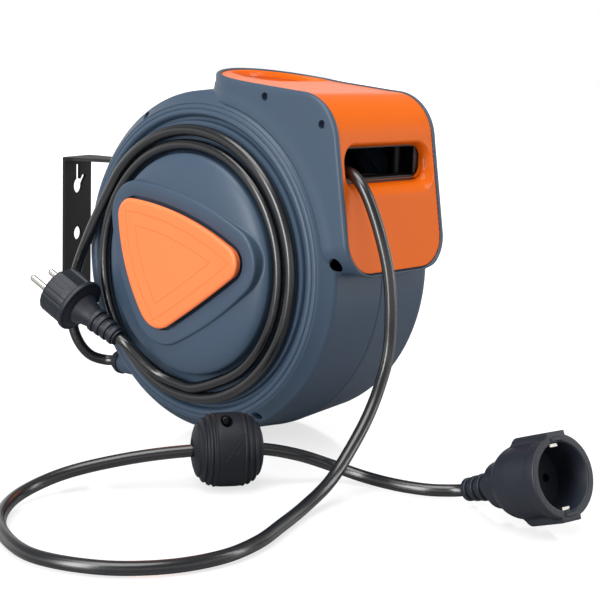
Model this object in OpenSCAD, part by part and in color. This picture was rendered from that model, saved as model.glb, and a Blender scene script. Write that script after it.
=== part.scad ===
// Wall-mounted automatic extension cord reel.
// Drum frame used by every module: X along the spool axis, +X to the rear shell,
// -Y to the cable outlet, +Z up, with the spool axis crossing the parting plane at
// the origin. placed() then moves it all so that the wall plate's back is the origin.

/* [Drum housing] */
// Radius of the drum at the parting line
drum_r = 126; // [122:1:130]
// Distance from the parting plane to the floor of the winding channel
channel_x = 54.6; // [53:0.2:58]
// Wall thickness of the two shells
wall = 3; // [2.4:0.2:3.4]
// Radius of the rounded shoulder
shoulder_r = 44; // [40:1:46]
// Radius of the raised centre disc that the supply lead is wound round
disc_r = 77.6; // [74:0.2:78]
// Height of the centre disc above the channel floor
disc_rise = 8; // [7:0.5:9]
// Rise of the domed centre of the disc
dome_rise = 10.5; // [9:0.5:11]

/* [Triangular badge] */
// Thickness of the badge
badge_t = 6.6; // [5:0.2:8]
// Depth that the badge is let into the plateau
badge_sink = 1.2; // [0.8:0.2:2]
// Height of the raised plateau above the top of the dome
plateau_rise = 1.2; // [0.8:0.2:2.4]
// Margin of the raised plateau round the badge
plateau_margin = 12.4; // [9:0.2:12.6]

/* [Outlet head] */
// Half width of the head across its side plates
head_half = 51; // [50:0.5:52]
// Thickness of the side plates and rim round the orange insert
head_rim = 3.5; // [3:0.1:4]
// Rise of the head's top above the drum
head_rise = 5.6; // [4.6:0.2:8]
// Reach of the head's front beyond the drum at the slot's height
head_reach = 2; // [1:0.5:3]
// Radius of the bend between the head's top and front
head_bend = 34; // [30:1:36]
// Thickness of the orange insert
insert_t = 3; // [2.4:0.2:3.2]

/* [Cable outlet] */
// Half width of the slot's throat
slot_half = 41; // [38:0.5:42]
// Height of the slot's middle above the spool axis
slot_z = 77.5; // [77:0.5:78]
// Clear height of the slot's throat
slot_h = 23; // [22:0.5:24]
// Radius of the two horizontal guide rollers
roller_r = 4.5; // [4:0.1:4.7]
// Radius of the two upright guide rollers
side_roller_r = 4; // [3.6:0.1:4.2]
// Radius of the roller pins
roller_pin_r = 1.5; // [1.2:0.1:2]

/* [Grip recess] */
// Half length of the hand recess across the head
grip_half = 32; // [28:1:34]
// Width of the hand recess
grip_w = 40; // [36:1:41]
// Depth of the hand recess
grip_d = 24; // [18:1:24]

/* [Spool] */
// Clearance between the spool flanges and the housing's screw posts
flange_gap = 6.8; // [4:0.2:9]
// Half width between the spool flanges
spool_half = 31; // [28:1:31]
// Radius of the winding hub
hub_r = 48; // [46:1:50]
// Radius of the fixed axle
axle_r = 6; // [5:0.5:7]
// Number of ratchet teeth
ratchet_teeth = 6; // [4:1:8]
// Tip radius of the ratchet
ratchet_r = 62; // [61:0.5:62.5]
// Number of cable layers on the hub
layers = 3; // [2:1:3]

/* [Wall bracket] */
// Distance from the swivel pin to the back of the wall plate
bracket_reach = 46; // [44:1:52]
// Width of the wall plate
bracket_w = 36; // [32:1:38]
// Outer height of the bracket
bracket_h = 123; // [118:1:130]
// Thickness of the bracket steel
bracket_t = 2.5; // [2:0.5:3]
// Radius of the swivel pin
pin_r = 5; // [4:0.5:6]
// Distance from the drum's rim to the swivel pin's axis
pin_gap = 9; // [8.8:0.2:14]
// Angle between the bracket and the drum at rest
rest_turn = 15; // [0:1:20]

/* [Cables and fittings] */
// Diameter of both cables
cable_d = 8; // [7:0.2:8.4]
// Diameter of the stop ball
ball_d = 48; // [44:1:52]
// Diameter of the socket's front flange
socket_d = 50; // [49:1:52]
// Diameter of the plug's body
plug_d = 38; // [36:1:39]

/* [Hidden] */

$fn = 96;
fit_gap = 0.15;         // between mating parts of one body
run_gap = 0.05;         // radial gap of every shaft in its bore
part_gap = 0.3;         // between neighbours on different bodies
cable_r = cable_d / 2;

// Housing
seam = 0.05;
head_top = drum_r + head_rise;
head_front = drum_r + head_reach;
pin_y = drum_r + pin_gap;
step_x = channel_x - 1;
shoulder_drop = 31.6;
shoulder_c = [drum_r - 0.4 - shoulder_r, step_x - shoulder_drop];
shoulder_end = asin(shoulder_drop / shoulder_r);
ring_r = shoulder_c[0] + shoulder_r * cos(shoulder_end);
ring_w = 6.8;
channel_r = ring_r - ring_w - 1;
disc_x = channel_x + disc_rise;
plateau_x = disc_x + dome_rise + plateau_rise;
badge_seat = plateau_x - badge_sink;
// Badge outline in Y and Z, anticlockwise: centre and radius of each corner's arc, and the
// radius of the side that runs on from it
badge_corners = [[41.7, 30.9, 12.8], [-49.5, 8.1, 12.6], [13.4, -25.8, 19.7]];
badge_sides = [228, 940, 134];
plateau_sides = [228, 260, 134];
rim_screw_in = 10.4;
rim_screw_r = drum_r - rim_screw_in;
rim_screw_turns = [0, 60, 240, 300];
rim_screw_x = 45.6;
screw_head_r = 2.7;
screw_shank_r = 1.9;
post_r = 4.8;
rib_x = 34;
core_r = drum_r - wall - 0.4;

// Head: slope of the top and lean of the front, as rise over run
top_slope = 0.088;
front_lean = 0.114;
head_foot = 2.5;
foot_bend = 18;
foot_corner = 27;
rear_y = 12;
rear_bend_y = 42;
head_posts = [[-58.6, head_top - 12.6], [18.8 - head_front, head_top - 28.2], [6.3 - head_front, 12.5]];
head_post_r = 2.9;
head_shank_r = 1.7;
pocket_half = head_half - head_rim;
insert_half = pocket_half - fit_gap;
insert_drop = 0.8;
slot_r = 9;
throat_y = -118;
mouth_half = slot_half + 4;
mouth_up = 4;
mouth_down = 10;

// Roller box behind the slot
frame_front = throat_y + 2;
frame_side = insert_half - 0.1;
frame_t = 2;
roller_y = frame_front + frame_t + 0.6 + roller_r;
side_roller_y = roller_y + roller_r + 0.5 + side_roller_r;
frame_back = side_roller_y + side_roller_r + 0.5 + frame_t;
roller_low = slot_z - slot_h / 2 - 2;
roller_high = slot_z + slot_h / 2 + 2;
frame_low = roller_low - roller_r - 3.5;
frame_high = roller_high + roller_r + 3.5;
roller_half = frame_side - frame_t - part_gap;
side_roller_x = frame_side - frame_t - part_gap - side_roller_r;

// Spool
flange_r = rim_screw_r - post_r - flange_gap;
flange_t = 3;
hub_t = 3;
spigot_r = hub_r - 3;
winding_r = hub_r + part_gap + layers * cable_d;
sleeve_r = axle_r + 5;
sleeve_end = spool_half + flange_t - 1;
axle_boss = spool_half + flange_t + 5.5;
ratchet_t = 4;
ratchet_depth = 8;
ratchet_in = 12;
ratchet_turn = -84;
pawl_r = 80;
pawl_len = 26;
pawl_rest = 40;
pawl_t = 3.4;
pawl_pin_r = 3;
pawl_x = -spool_half - flange_t - ratchet_t;
spring_in = sleeve_r + 2;
spring_out = spigot_r - hub_t - part_gap - 0.5;
ring_core_r = 20;
contact_r = 22;

// Bracket
arm_z = bracket_h / 2 - bracket_t;
ear_r = pin_r + 7;
washer_t = 1.4;
boss_half = arm_z - washer_t - 2 * part_gap;
boss_r = pin_r + 3.8;
origin = [-bracket_reach * sin(rest_turn), pin_y + bracket_reach * cos(rest_turn), 0];
keyhole_z = 38;

// Supply lead: wound once and a half round the disc
lead_x = channel_x + part_gap + cable_r;
inner_turn = disc_r + 1.6 + cable_r;
outer_turn = inner_turn + cable_d + 3.8;
gland_z = -89.5;
gland_stand = 9.3;
gland_at = [-32, sqrt(drum_r * drum_r - gland_z * gland_z) + gland_stand, gland_z];
gland_r = 9.5;
gland_l = 7;
lead_start_route = [
    [-32, 105, -89.5], [-37, 114, -90], [-46, 121, -86], [-53, 126, -76], [-57, 129, -62], [-58, 130, -43],
    [-60, 122, -20], [-61, 111, 1], [-60, 100, 22], [-59, 87, 43], [-59, 72, 63]
];
lead_end_route = [
    [-60, -10, -86.5], [-60, 10, -87], [-63, 26, -83], [-69, 37, -74], [-76, 46, -63], [-78, 54, -58.5]
];
plug_at = [-78, 54, -58.5];
plug_dir = [-0.166, 0.861, 0.482];
plug_roll = -8;
plug_base = 37;

// Output cord: from the winding through the slot, down to the floor, round and back
output_route = [
    [-14, 12, 78], [-19, -25, 78], [-24, -62, 77], [-26, -78, 76], [-32, -98, 74], [-33, -109, 73],
    [-35, -122, 72], [-37, -132, 66], [-37, -140, 55], [-37, -150, 34], [-36, -157, 10],
    [-36, -160, -15], [-37, -160, -42], [-46, -161, -62], [-60, -163, -80], [-80, -166, -97],
    [-104, -170, -112], [-134, -176, -120], [-168, -188, -121], [-200, -199, -121],
    [-232, -202, -121], [-264, -192, -121], [-290, -168, -121], [-303, -130, -121],
    [-292, -90, -121], [-270, -60, -121], [-240, -41, -119], [-205, -42, -113],
    [-170, -63, -106], [-138, -88, -102], [-107, -111, -102], [-85, -126, -107],
    [-66, -139, -115], [-57, -158, -120], [-54, -182, -121], [-48, -203, -121], [-40, -218, -120],
    [-37, -227, -118]
];
ball_at = [-122.5, -99.6, -101.8];
ball_dir = [0.80, -0.595, 0];
socket_end = [-37, -227, -118];
socket_dir = [-0.186, -0.92, 0.34];
socket_neck = 20;
socket_l = 84;
recess_r = 20;
recess_d = 18;
rib_half = 7.5;

// Curves and outlines -----------------------------------------------------------

function arc(c, r, a0, a1, n = 12) =
    [for (i = [0:n]) let (a = a0 + (a1 - a0) * i / n) [c[0] + r * cos(a), c[1] + r * sin(a)]];
function unit(v) = v / norm(v);

// Rounded triangle: three corner arcs joined by bowed sides, all set out by grow
function bow_centre(p, q, r) =
    let (a = [p[0], p[1]], b = [q[0], q[1]], l = norm(b - a), u = (b - a) / l,
         along = (pow(r - p[2], 2) - pow(r - q[2], 2) + l * l) / (2 * l),
         across = sqrt(pow(r - p[2], 2) - along * along))
    a + along * u - across * [u[1], -u[0]];
function heading(from, to) = atan2(to[1] - from[1], to[0] - from[0]);
function onward(a, b) = b < a ? b + 360 : b;
function tri_outline(sides, grow) =
    [for (i = [0:2])
        let (p = badge_corners[i], q = badge_corners[(i + 1) % 3], o = badge_corners[(i + 2) % 3],
             before = bow_centre(o, p, sides[(i + 2) % 3]), after = bow_centre(p, q, sides[i]),
             a0 = heading(before, p), a1 = onward(a0, heading(after, p)))
        each concat(arc(p, p[2] + grow, a0, a1, 8),
                    arc(after, sides[i] + grow, a1, onward(a1, heading(after, q)), 10))];

// Side outline of the head in Y and Z, set back by inset
function top_z(y) = head_top + top_slope * y + 0.0011 * pow(max(y + 45, 0), 2);
function front_y(z) = -head_front - front_lean * (slot_z - z);
lean = atan(front_lean);
slope = atan(top_slope);
function bend_c() =
    let (s = head_bend, y = -head_front + s + 5.5) [y, head_top + top_slope * y - s];
function foot_c() = let (z = head_foot + foot_bend) [front_y(z) + foot_bend, z];
function side_outline(inset) = concat(
    [[-20, 0], [rear_y + 4, 0]],
    [for (y = [rear_y + 4 : -6 : -84]) [y, top_z(y) - inset]],
    arc(bend_c(), head_bend - inset, 90 + slope, 180 - lean, 14),
    arc(foot_c(), foot_bend - inset, 180 - lean, 270, 10));
function plan_outline(inset) =
    let (h = head_half - inset, b = rear_bend_y - inset, y0 = rear_y - rear_bend_y)
    concat([[h, -170]], [for (a = [0:7.5:180]) [h * cos(a), y0 + b * sin(a)]], [[-h, -170]]);
function front_outline(inset) =
    let (h = head_half - inset, r = foot_corner - inset, z = head_foot + foot_corner)
    concat([[-h, 170]], arc([-h + r, z], r, 180, 270, 8), arc([h - r, z], r, 270, 360, 8),
           [[h, 170]]);

// Smooth curve through a route, and a round tube swept along it
function spline_at(p0, p1, p2, p3, t) =
    0.5 * ((2 * p1) + (p2 - p0) * t + (2 * p0 - 5 * p1 + 4 * p2 - p3) * t * t
           + (3 * p1 - p0 - 3 * p2 + p3) * t * t * t);
function smooth(route, steps) =
    let (n = len(route))
    concat([for (i = [0:n - 2]) for (k = [0:steps - 1])
        spline_at(route[max(i - 1, 0)], route[i], route[i + 1], route[min(i + 2, n - 1)],
                  k / steps)], [route[n - 1]]);
function tangents(line) =
    let (n = len(line)) [for (i = [0:n - 1]) unit(line[min(i + 1, n - 1)] - line[max(i - 1, 0)])];
function carried(dirs, i, v) =
    let (w = unit(v - (v * dirs[i]) * dirs[i]))
    i == len(dirs) - 1 ? [w] : concat([w], carried(dirs, i + 1, w));
module tube(route, r, steps, sides = 10) {
    line = smooth(route, steps);
    dirs = tangents(line);
    ups = carried(dirs, 0, abs(dirs[0][2]) < 0.9 ? [0, 0, 1] : [0, 1, 0]);
    n = len(line);
    points = [for (i = [0:n - 1]) for (j = [0:sides - 1])
        let (a = 360 * j / sides)
        line[i] + r * (cos(a) * ups[i] + sin(a) * cross(dirs[i], ups[i]))];
    walls = [for (i = [0:n - 2]) for (j = [0:sides - 1]) each
        let (a = i * sides + j, b = i * sides + (j + 1) % sides)
        [[a, a + sides, b + sides], [a, b + sides, b]]];
    ends = [[for (j = [0:sides - 1]) j],
            [for (j = [sides - 1:-1:0]) (n - 1) * sides + j]];
    polyhedron(points, concat(walls, ends));
}

// Placing helpers ------------------------------------------------------------------

module placed() {
    translate(-origin) children();
}
// Turns a shape built up +Z so that it points out of the near (-1) or far (+1) side.
module out_of(side) {
    rotate([0, side * 90, 0]) children();
}
module along_x(from, to) {
    translate([from, 0, 0]) rotate([90, 0, 90]) linear_extrude(to - from) children();
}
module along_y(from, to) {
    translate([0, to, 0]) rotate([90, 0, 0]) linear_extrude(to - from) children();
}
module rod_x(at, r, from, to) {
    translate([from, at[0], at[1]]) rotate([0, 90, 0]) cylinder(r = r, h = to - from);
}
module aimed(at, dir, roll = 0) {
    translate(at) rotate([0, acos(unit(dir)[2]), atan2(dir[1], dir[0])])
        rotate([0, 0, roll]) children();
}
module slab(half, low, high, r) {
    translate([-half + r, low + r]) circle(r);
    translate([half - r, low + r]) circle(r);
    translate([-half + r, high - r]) circle(r);
    translate([half - r, high - r]) circle(r);
    translate([-half, low + r]) square([2 * half, high - low - 2 * r]);
    translate([-half + r, low]) square([2 * half - 2 * r, high - low]);
}

// Housing ------------------------------------------------------------------------

module drum_body() {
    dome = [for (r = [disc_r - 1.6 : -7 : 1]) [r, disc_x + dome_rise * sqrt(1 - pow(r / disc_r, 4))]];
    rotate_extrude($fn = 180) polygon(concat(
        [[0, 0], [drum_r - 0.8, 0], [drum_r, 0.8], [drum_r, 12]],
        arc(shoulder_c, shoulder_r, 0, shoulder_end, 10),
        [[ring_r - 0.8, step_x - 0.7], [ring_r - 1.4, step_x + 0.5], [ring_r - 3.4, step_x + 1.1],
         [ring_r - 4, step_x + 0.4], [ring_r - 4.6, step_x + 1.5], [ring_r - ring_w, step_x + 2.1],
         [channel_r, channel_x], [disc_r + 2, channel_x], [disc_r + 0.6, channel_x + 1],
         [disc_r, disc_x - 2.4], [disc_r - 0.6, disc_x - 0.6]],
        dome, [[0, disc_x + dome_rise]]));
}
module drum_core() {
    in_x = channel_x - wall;
    rotate_extrude($fn = 180) polygon(concat(
        [[0, -1], [core_r, -1]],
        arc(shoulder_c, shoulder_r - wall, 0, shoulder_end - 3, 8),
        [[channel_r - wall, in_x], [disc_r - wall + 1, in_x], [disc_r - wall, in_x + 1],
         [disc_r - wall - 1, disc_x - wall - 1], [disc_r - wall - 2, disc_x - wall],
         [0, disc_x - wall]]));
}
module plateau() {
    for (level = [[0, 2], [0.8, 0.8], [2, 0.2], [3.6, 0]])
        linear_extrude(plateau_x - level[1]) polygon(tri_outline(plateau_sides, plateau_margin - level[0]));
}
module badge_pocket() {
    translate([0, 0, badge_seat - fit_gap]) linear_extrude(20)
        polygon(tri_outline(badge_sides, 0.9));
}
// The triangle is drawn in Y and Z, so it is turned to lie on the near face.
module near_face() {
    mirror([1, 0, 0]) rotate([90, 0, 90]) children();
}
module head_block(side_inset, edge_inset) {
    intersection() {
        along_x(-head_half, head_half) polygon(side_outline(side_inset));
        linear_extrude(170) polygon(plan_outline(edge_inset));
        along_y(-170, 30) polygon(front_outline(edge_inset));
    }
}
module head_outer() {
    head_block(2.6, 0);
    head_block(0.8, 1);
    head_block(0, 2.6);
}
module head_pocket() {
    intersection() {
        linear_extrude(200) polygon(plan_outline(head_rim));
        along_y(-170, 30) polygon(front_outline(head_rim));
    }
}
module rim_posts() {
    intersection() {
        union() for (turn = rim_screw_turns) {
            rod_x(rim_screw_r * [cos(turn), sin(turn)], post_r, -rim_screw_x, rim_screw_x);
            rotate([turn, 0, 0]) translate([-rib_x, rim_screw_r, -1])
                cube([2 * rib_x, core_r + 0.2 - rim_screw_r, 2]);
        }
        union() {
            out_of(-1) drum_body();
            out_of(1) drum_body();
        }
    }
}
module rim_bores() {
    for (turn = rim_screw_turns)
        rod_x(rim_screw_r * [cos(turn), sin(turn)], screw_shank_r + fit_gap, -rim_screw_x, rim_screw_x - 8);
}
module head_post_rods(r, from, to) {
    for (at = head_posts)
        rod_x(at, r, from, to);
}
module shell_solid() {
    difference() {
        union() {
            difference() {
                union() {
                    out_of(-1) drum_body();
                    out_of(1) drum_body();
                    head_outer();
                }
                out_of(-1) drum_core();
                out_of(1) drum_core();
                head_pocket();
            }
            rim_posts();
            head_post_rods(head_post_r, -pocket_half - 0.5, pocket_half + 0.5);
            rod_x([0, 0], axle_r + 6, -disc_x + wall - 1, -axle_boss);
            rod_x([0, 0], axle_r + 6, axle_boss, disc_x - wall + 1);
            rod_x([0, -pawl_r], pawl_pin_r + 3, -channel_x + wall - 0.5, pawl_x - part_gap);
        }
        rim_bores();
        head_post_rods(head_shank_r + fit_gap, -pocket_half - 4, pocket_half);
        rod_x([0, 0], axle_r + run_gap, -disc_x + wall + 1, disc_x - wall - 1);
    }
}
module front_shell() {
    color("#4D5D6B") placed() difference() {
        union() {
            shell_solid();
            near_face() plateau_cap();
        }
        translate([-seam, -300, -300]) cube(600);
        near_face() badge_pocket();
        for (turn = rim_screw_turns)
            rod_x(rim_screw_r * [cos(turn), sin(turn)], screw_head_r + 0.3, -drum_r, -rim_screw_x);
        head_post_rods(screw_head_r, -head_half - 1, -head_half + 2.2);
        rod_x([pawl_r * cos(-90), pawl_r * sin(-90)], pawl_pin_r + run_gap,
              -channel_x + wall - 1.5, 0);
    }
}
// The plateau's part above the inner face of the disc
module plateau_cap() {
    difference() {
        plateau();
        translate([0, 0, -1]) cylinder(r = disc_r + 10, h = disc_x);
    }
}
module rear_shell() {
    color("#4D5D6B") placed() difference() {
        shell_solid();
        translate([-600 + seam, -300, -300]) cube(600);
    }
}
module insert_sheet(drop, inset) {
    intersection() {
        along_x(-insert_half, insert_half) polygon(side_outline(drop));
        linear_extrude(170) polygon(plan_outline(inset));
        along_y(-170, 30) polygon(front_outline(inset));
    }
}
module outlet_insert() {
    wall_out = 2.4;
    color("#F0702C") placed() difference() {
        union() {
            difference() {
                insert_sheet(insert_drop, head_rim + fit_gap);
                along_x(-head_half, head_half) polygon(side_outline(insert_drop + insert_t));
            }
            intersection() {
                insert_sheet(insert_drop + 1, head_rim + fit_gap);
                along_y(throat_y, -60) slab(slot_half + wall_out, slot_z - slot_h / 2 - wall_out,
                                            slot_z + slot_h / 2 + wall_out, slot_r + wall_out);
                translate([-60, -head_front - 20, 0]) cube([120, 32, 170]);
            }
            intersection() {
                insert_sheet(insert_drop + 1, head_rim + fit_gap);
                union() {
                    along_y(throat_y - 0.1, throat_y + 2) slab(slot_half + wall_out, 60, 95, slot_r);
                    funnel(wall_out);
                }
            }
            grip_cup(wall_out);
        }
        funnel(0);
        along_y(throat_y - 1, throat_y + 30) slab(slot_half, slot_z - slot_h / 2, slot_z + slot_h / 2, slot_r);
        grip_cup(0);
    }
}
// Dished mouth that narrows to the throat, grown by t for its outer wall
module funnel(t) {
    hull() {
        along_y(-head_front - 14, -head_front - 13)
            slab(mouth_half + t, slot_z - slot_h / 2 - mouth_down - 2 - t,
                 slot_z + slot_h / 2 + mouth_up + t, slot_r + 4, $fn = 32);
        along_y(throat_y - 1, throat_y)
            slab(slot_half + t, slot_z - slot_h / 2 - t, slot_z + slot_h / 2 + t, slot_r, $fn = 32);
    }
}
module grip_cup(t) {
    y0 = rear_y - head_rim - 6 - grip_w / 2;
    z0 = head_top - grip_d;
    intersection() {
        insert_sheet(t > 0 ? insert_drop + 0.5 : -20, head_rim + fit_gap);
        translate([0, y0, z0 - t]) linear_extrude(60) slab(grip_half + t, -grip_w / 2 - t,
            grip_w / 2 + t, 18 + t);
    }
}
module badge() {
    color("#FF8A45") placed() near_face() {
        for (level = [[0, badge_t - 1.8], [0.7, badge_t - 0.8], [2, badge_t]])
            translate([0, 0, badge_seat]) linear_extrude(level[1])
                polygon(tri_outline(badge_sides, -level[0]));
    }
}
module housing_screws() {
    color("#2B2F34") placed() {
        for (turn = rim_screw_turns) {
            at = rim_screw_r * [cos(turn), sin(turn)];
            rod_x(at, screw_shank_r, -rim_screw_x, 16);
            rod_x(at, screw_head_r, -rim_screw_x - 2.2, -rim_screw_x - 0.02);
        }
        for (at = head_posts) {
            rod_x(at, head_shank_r, -head_half + 2.2, 16);
            rod_x(at, screw_head_r - 0.2, -head_half + 0.4, -head_half + 2.18);
        }
    }
}
module swivel_boss() {
    color("#4D5D6B") placed() difference() {
        union() {
            translate([0, pin_y, -boss_half]) cylinder(r = boss_r, h = 2 * boss_half);
            translate([-6, drum_r - 20, -boss_half + 4]) cube([12, pin_y - drum_r + 20, 2 * boss_half - 8]);
        }
        translate([0, pin_y, -200]) cylinder(r = pin_r + run_gap, h = 400);
        rotate([0, 90, 0]) cylinder(r = drum_r + fit_gap, h = 100, center = true, $fn = 180);
    }
}
module axle() {
    color("#9AA0A6") placed() rod_x([0, 0], axle_r, -disc_x + wall + 1.5, disc_x - wall - 1.5);
}
module axle_spacers() {
    color("#9AA0A6") placed() for (side = [-1, 1])
        out_of(side) translate([0, 0, sleeve_end + part_gap]) difference() {
            cylinder(r = axle_r + 3, h = axle_boss - sleeve_end - part_gap - fit_gap);
            translate([0, 0, -1]) cylinder(r = axle_r + run_gap, h = 20);
        }
}

// Four-roller outlet -----------------------------------------------------------------

module roller_frame() {
    color("#2B2F34") placed() difference() {
        translate([-frame_side, frame_front + fit_gap, frame_low])
            cube([2 * frame_side, frame_back - frame_front, frame_high - frame_low]);
        translate([-frame_side + frame_t, frame_front + frame_t, frame_low + frame_t])
            cube([2 * (frame_side - frame_t), frame_back - frame_front - 2 * frame_t,
                  frame_high - frame_low - 2 * frame_t]);
        translate([-slot_half + 1, frame_front - 10, roller_low + roller_r - 1])
            cube([2 * slot_half - 2, 60, roller_high - roller_low - 2 * roller_r + 2]);
        for (z = [roller_low, roller_high])
            rod_x([roller_y, z], roller_pin_r + run_gap, -60, 60);
        for (x = [-side_roller_x, side_roller_x])
            translate([x, side_roller_y, 0]) cylinder(r = roller_pin_r + run_gap, h = 200);
    }
}
module roller_pins() {
    color("#9AA0A6") placed() {
        for (z = [roller_low, roller_high])
            rod_x([roller_y, z], roller_pin_r, -frame_side, frame_side);
        for (x = [-side_roller_x, side_roller_x])
            translate([x, side_roller_y, frame_low]) cylinder(r = roller_pin_r, h = frame_high - frame_low);
    }
}
module flat_roller(z) {
    placed() difference() {
        union() {
            rod_x([roller_y, z], roller_r, -roller_half + 1, roller_half - 1);
            rod_x([roller_y, z], roller_r - 1, -roller_half, roller_half);
        }
        rod_x([roller_y, z], roller_pin_r + run_gap, -60, 60);
    }
}
module upright_roller(x) {
    low = frame_low + frame_t + part_gap;
    high = frame_high - frame_t - part_gap;
    placed() translate([x, side_roller_y, 0]) difference() {
        union() {
            translate([0, 0, low + 1]) cylinder(r = side_roller_r, h = high - low - 2);
            translate([0, 0, low]) cylinder(r = side_roller_r - 1, h = high - low);
        }
        cylinder(r = roller_pin_r + run_gap, h = 200);
    }
}
module roller_top() {
    color("#2B2F34") flat_roller(roller_high);
}
module roller_bottom() {
    color("#2B2F34") flat_roller(roller_low);
}
module roller_left() {
    color("#B9BDC1") upright_roller(-side_roller_x);
}
module roller_right() {
    color("#B9BDC1") upright_roller(side_roller_x);
}

// Spool --------------------------------------------------------------------------------

module spool_hub() {
    end = spool_half + flange_t;
    color("#33383D") placed() out_of(1) difference() {
        union() {
            translate([0, 0, -spool_half]) cylinder(r = hub_r, h = 2 * spool_half);
            translate([0, 0, -end]) cylinder(r = spigot_r, h = 2 * end);
        }
        for (side = [-1, 1]) mirror([0, 0, side < 0 ? 1 : 0])
            translate([0, 0, 2]) difference() {
                cylinder(r = spigot_r - hub_t, h = 60);
                translate([0, 0, -3]) cylinder(r = sleeve_r, h = sleeve_end + 1);
            }
        translate([0, 0, -60]) cylinder(r = axle_r + run_gap, h = 120);
    }
}
module flange(side) {
    boss = spigot_r + 8;
    color("#33383D") placed() out_of(side) translate([0, 0, spool_half + 0.02]) rotate_extrude()
        polygon([[spigot_r + run_gap, 0], [flange_r, 0], [flange_r, flange_t], [flange_r - 4, flange_t],
                 [flange_r - 5, flange_t - 1], [boss + 1, flange_t - 1], [boss, flange_t],
                 [spigot_r + run_gap, flange_t]]);
}
module near_flange() {
    flange(-1);
}
module far_flange() {
    flange(1);
}
module cable_winding() {
    turns = floor((2 * spool_half - 0.6) / cable_d);
    half = turns * cable_d / 2;
    color("#24272B") placed() out_of(1) rotate_extrude() {
        translate([hub_r + fit_gap, -half]) square([layers * cable_d - cable_r, 2 * half]);
        for (i = [0:turns - 1])
            translate([winding_r - part_gap + fit_gap - cable_r, -half + (i + 0.5) * cable_d])
                circle(cable_r, $fn = 32);
    }
}
function ratchet_outline() =
    [for (k = [0:ratchet_teeth - 1]) let (a = ratchet_turn + 360 * k / ratchet_teeth, p = 360 / ratchet_teeth)
        each concat(arc([0, 0], ratchet_r - ratchet_depth, a, a + p * 0.36, 4),
                    arc([0, 0], ratchet_r, a + p * 0.62, a + p, 5))];
module ratchet() {
    color("#C9CCD0") placed() along_x(-spool_half - flange_t - ratchet_t - 0.04,
                                      -spool_half - flange_t - 0.04)
        difference() {
            polygon(ratchet_outline());
            circle(ratchet_r - ratchet_in);
        }
}
function spiral_r(turn) = spring_in + (spring_out - spring_in) * turn / 2160;
module mainspring() {
    outer = [for (turn = [0:20:2160]) (spiral_r(turn) + 0.5) * [cos(turn), sin(turn)]];
    inner = [for (turn = [2160:-20:0]) (spiral_r(turn) - 0.5) * [cos(turn), sin(turn)]];
    color("#6F7880") placed() along_x(-spool_half + 1, -6) polygon(concat(outer, inner));
}
module spring_cover() {
    color("#33383D") placed() out_of(-1) translate([0, 0, spool_half + flange_t - 1.6]) difference() {
        cylinder(r = spigot_r - hub_t - fit_gap, h = 1.6);
        translate([0, 0, -1]) cylinder(r = sleeve_r + fit_gap, h = 4);
    }
}
module slip_ring_core() {
    color("#D8D2C4") placed() out_of(1) translate([0, 0, 2 + fit_gap]) difference() {
        cylinder(r = ring_core_r, h = spool_half - 3);
        translate([0, 0, -1]) cylinder(r = sleeve_r + fit_gap, h = 60);
    }
}
module slip_rings() {
    color("#C08A3E") placed() out_of(1) for (i = [0:2])
        translate([0, 0, 6 + 8 * i]) difference() {
            cylinder(r = contact_r, h = 4);
            translate([0, 0, -1]) cylinder(r = ring_core_r + run_gap, h = 9);
        }
}
module brush_carrier() {
    y0 = contact_r + 3;
    color("#2B2F34") placed() difference() {
        translate([4, y0, -6]) cube([disc_x - wall - 4 - fit_gap, 8, 12]);
        for (i = [0:2]) translate([8 + 8 * i, y0 - 1, -3]) translate([-1.6, 0, 0]) cube([3.2, 6, 6]);
    }
}
module brushes() {
    color("#5A4A3A") placed() for (i = [0:2])
        translate([8 + 8 * i - 1.5, contact_r + part_gap, -2.9]) cube([3, 7.5, 5.8]);
}
module pawl() {
    color("#B9BDC1") placed() translate([0, 0, -pawl_r]) rotate([pawl_rest, 0, 0])
        along_x(pawl_x, pawl_x + pawl_t) difference() {
            union() {
                circle(pawl_pin_r + 3);
                polygon([[0, -4.5], [pawl_len - 7, -2.2], [pawl_len, 1.2], [pawl_len - 1, 2.6], [0, 4.5]]);
            }
            circle(pawl_pin_r + run_gap);
        }
}
module pawl_pin() {
    color("#9AA0A6") placed() rod_x([0, -pawl_r], pawl_pin_r, -channel_x + wall - 1,
        -spool_half - flange_t - 0.6);
}

// Wall bracket ------------------------------------------------------------------------------

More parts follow.
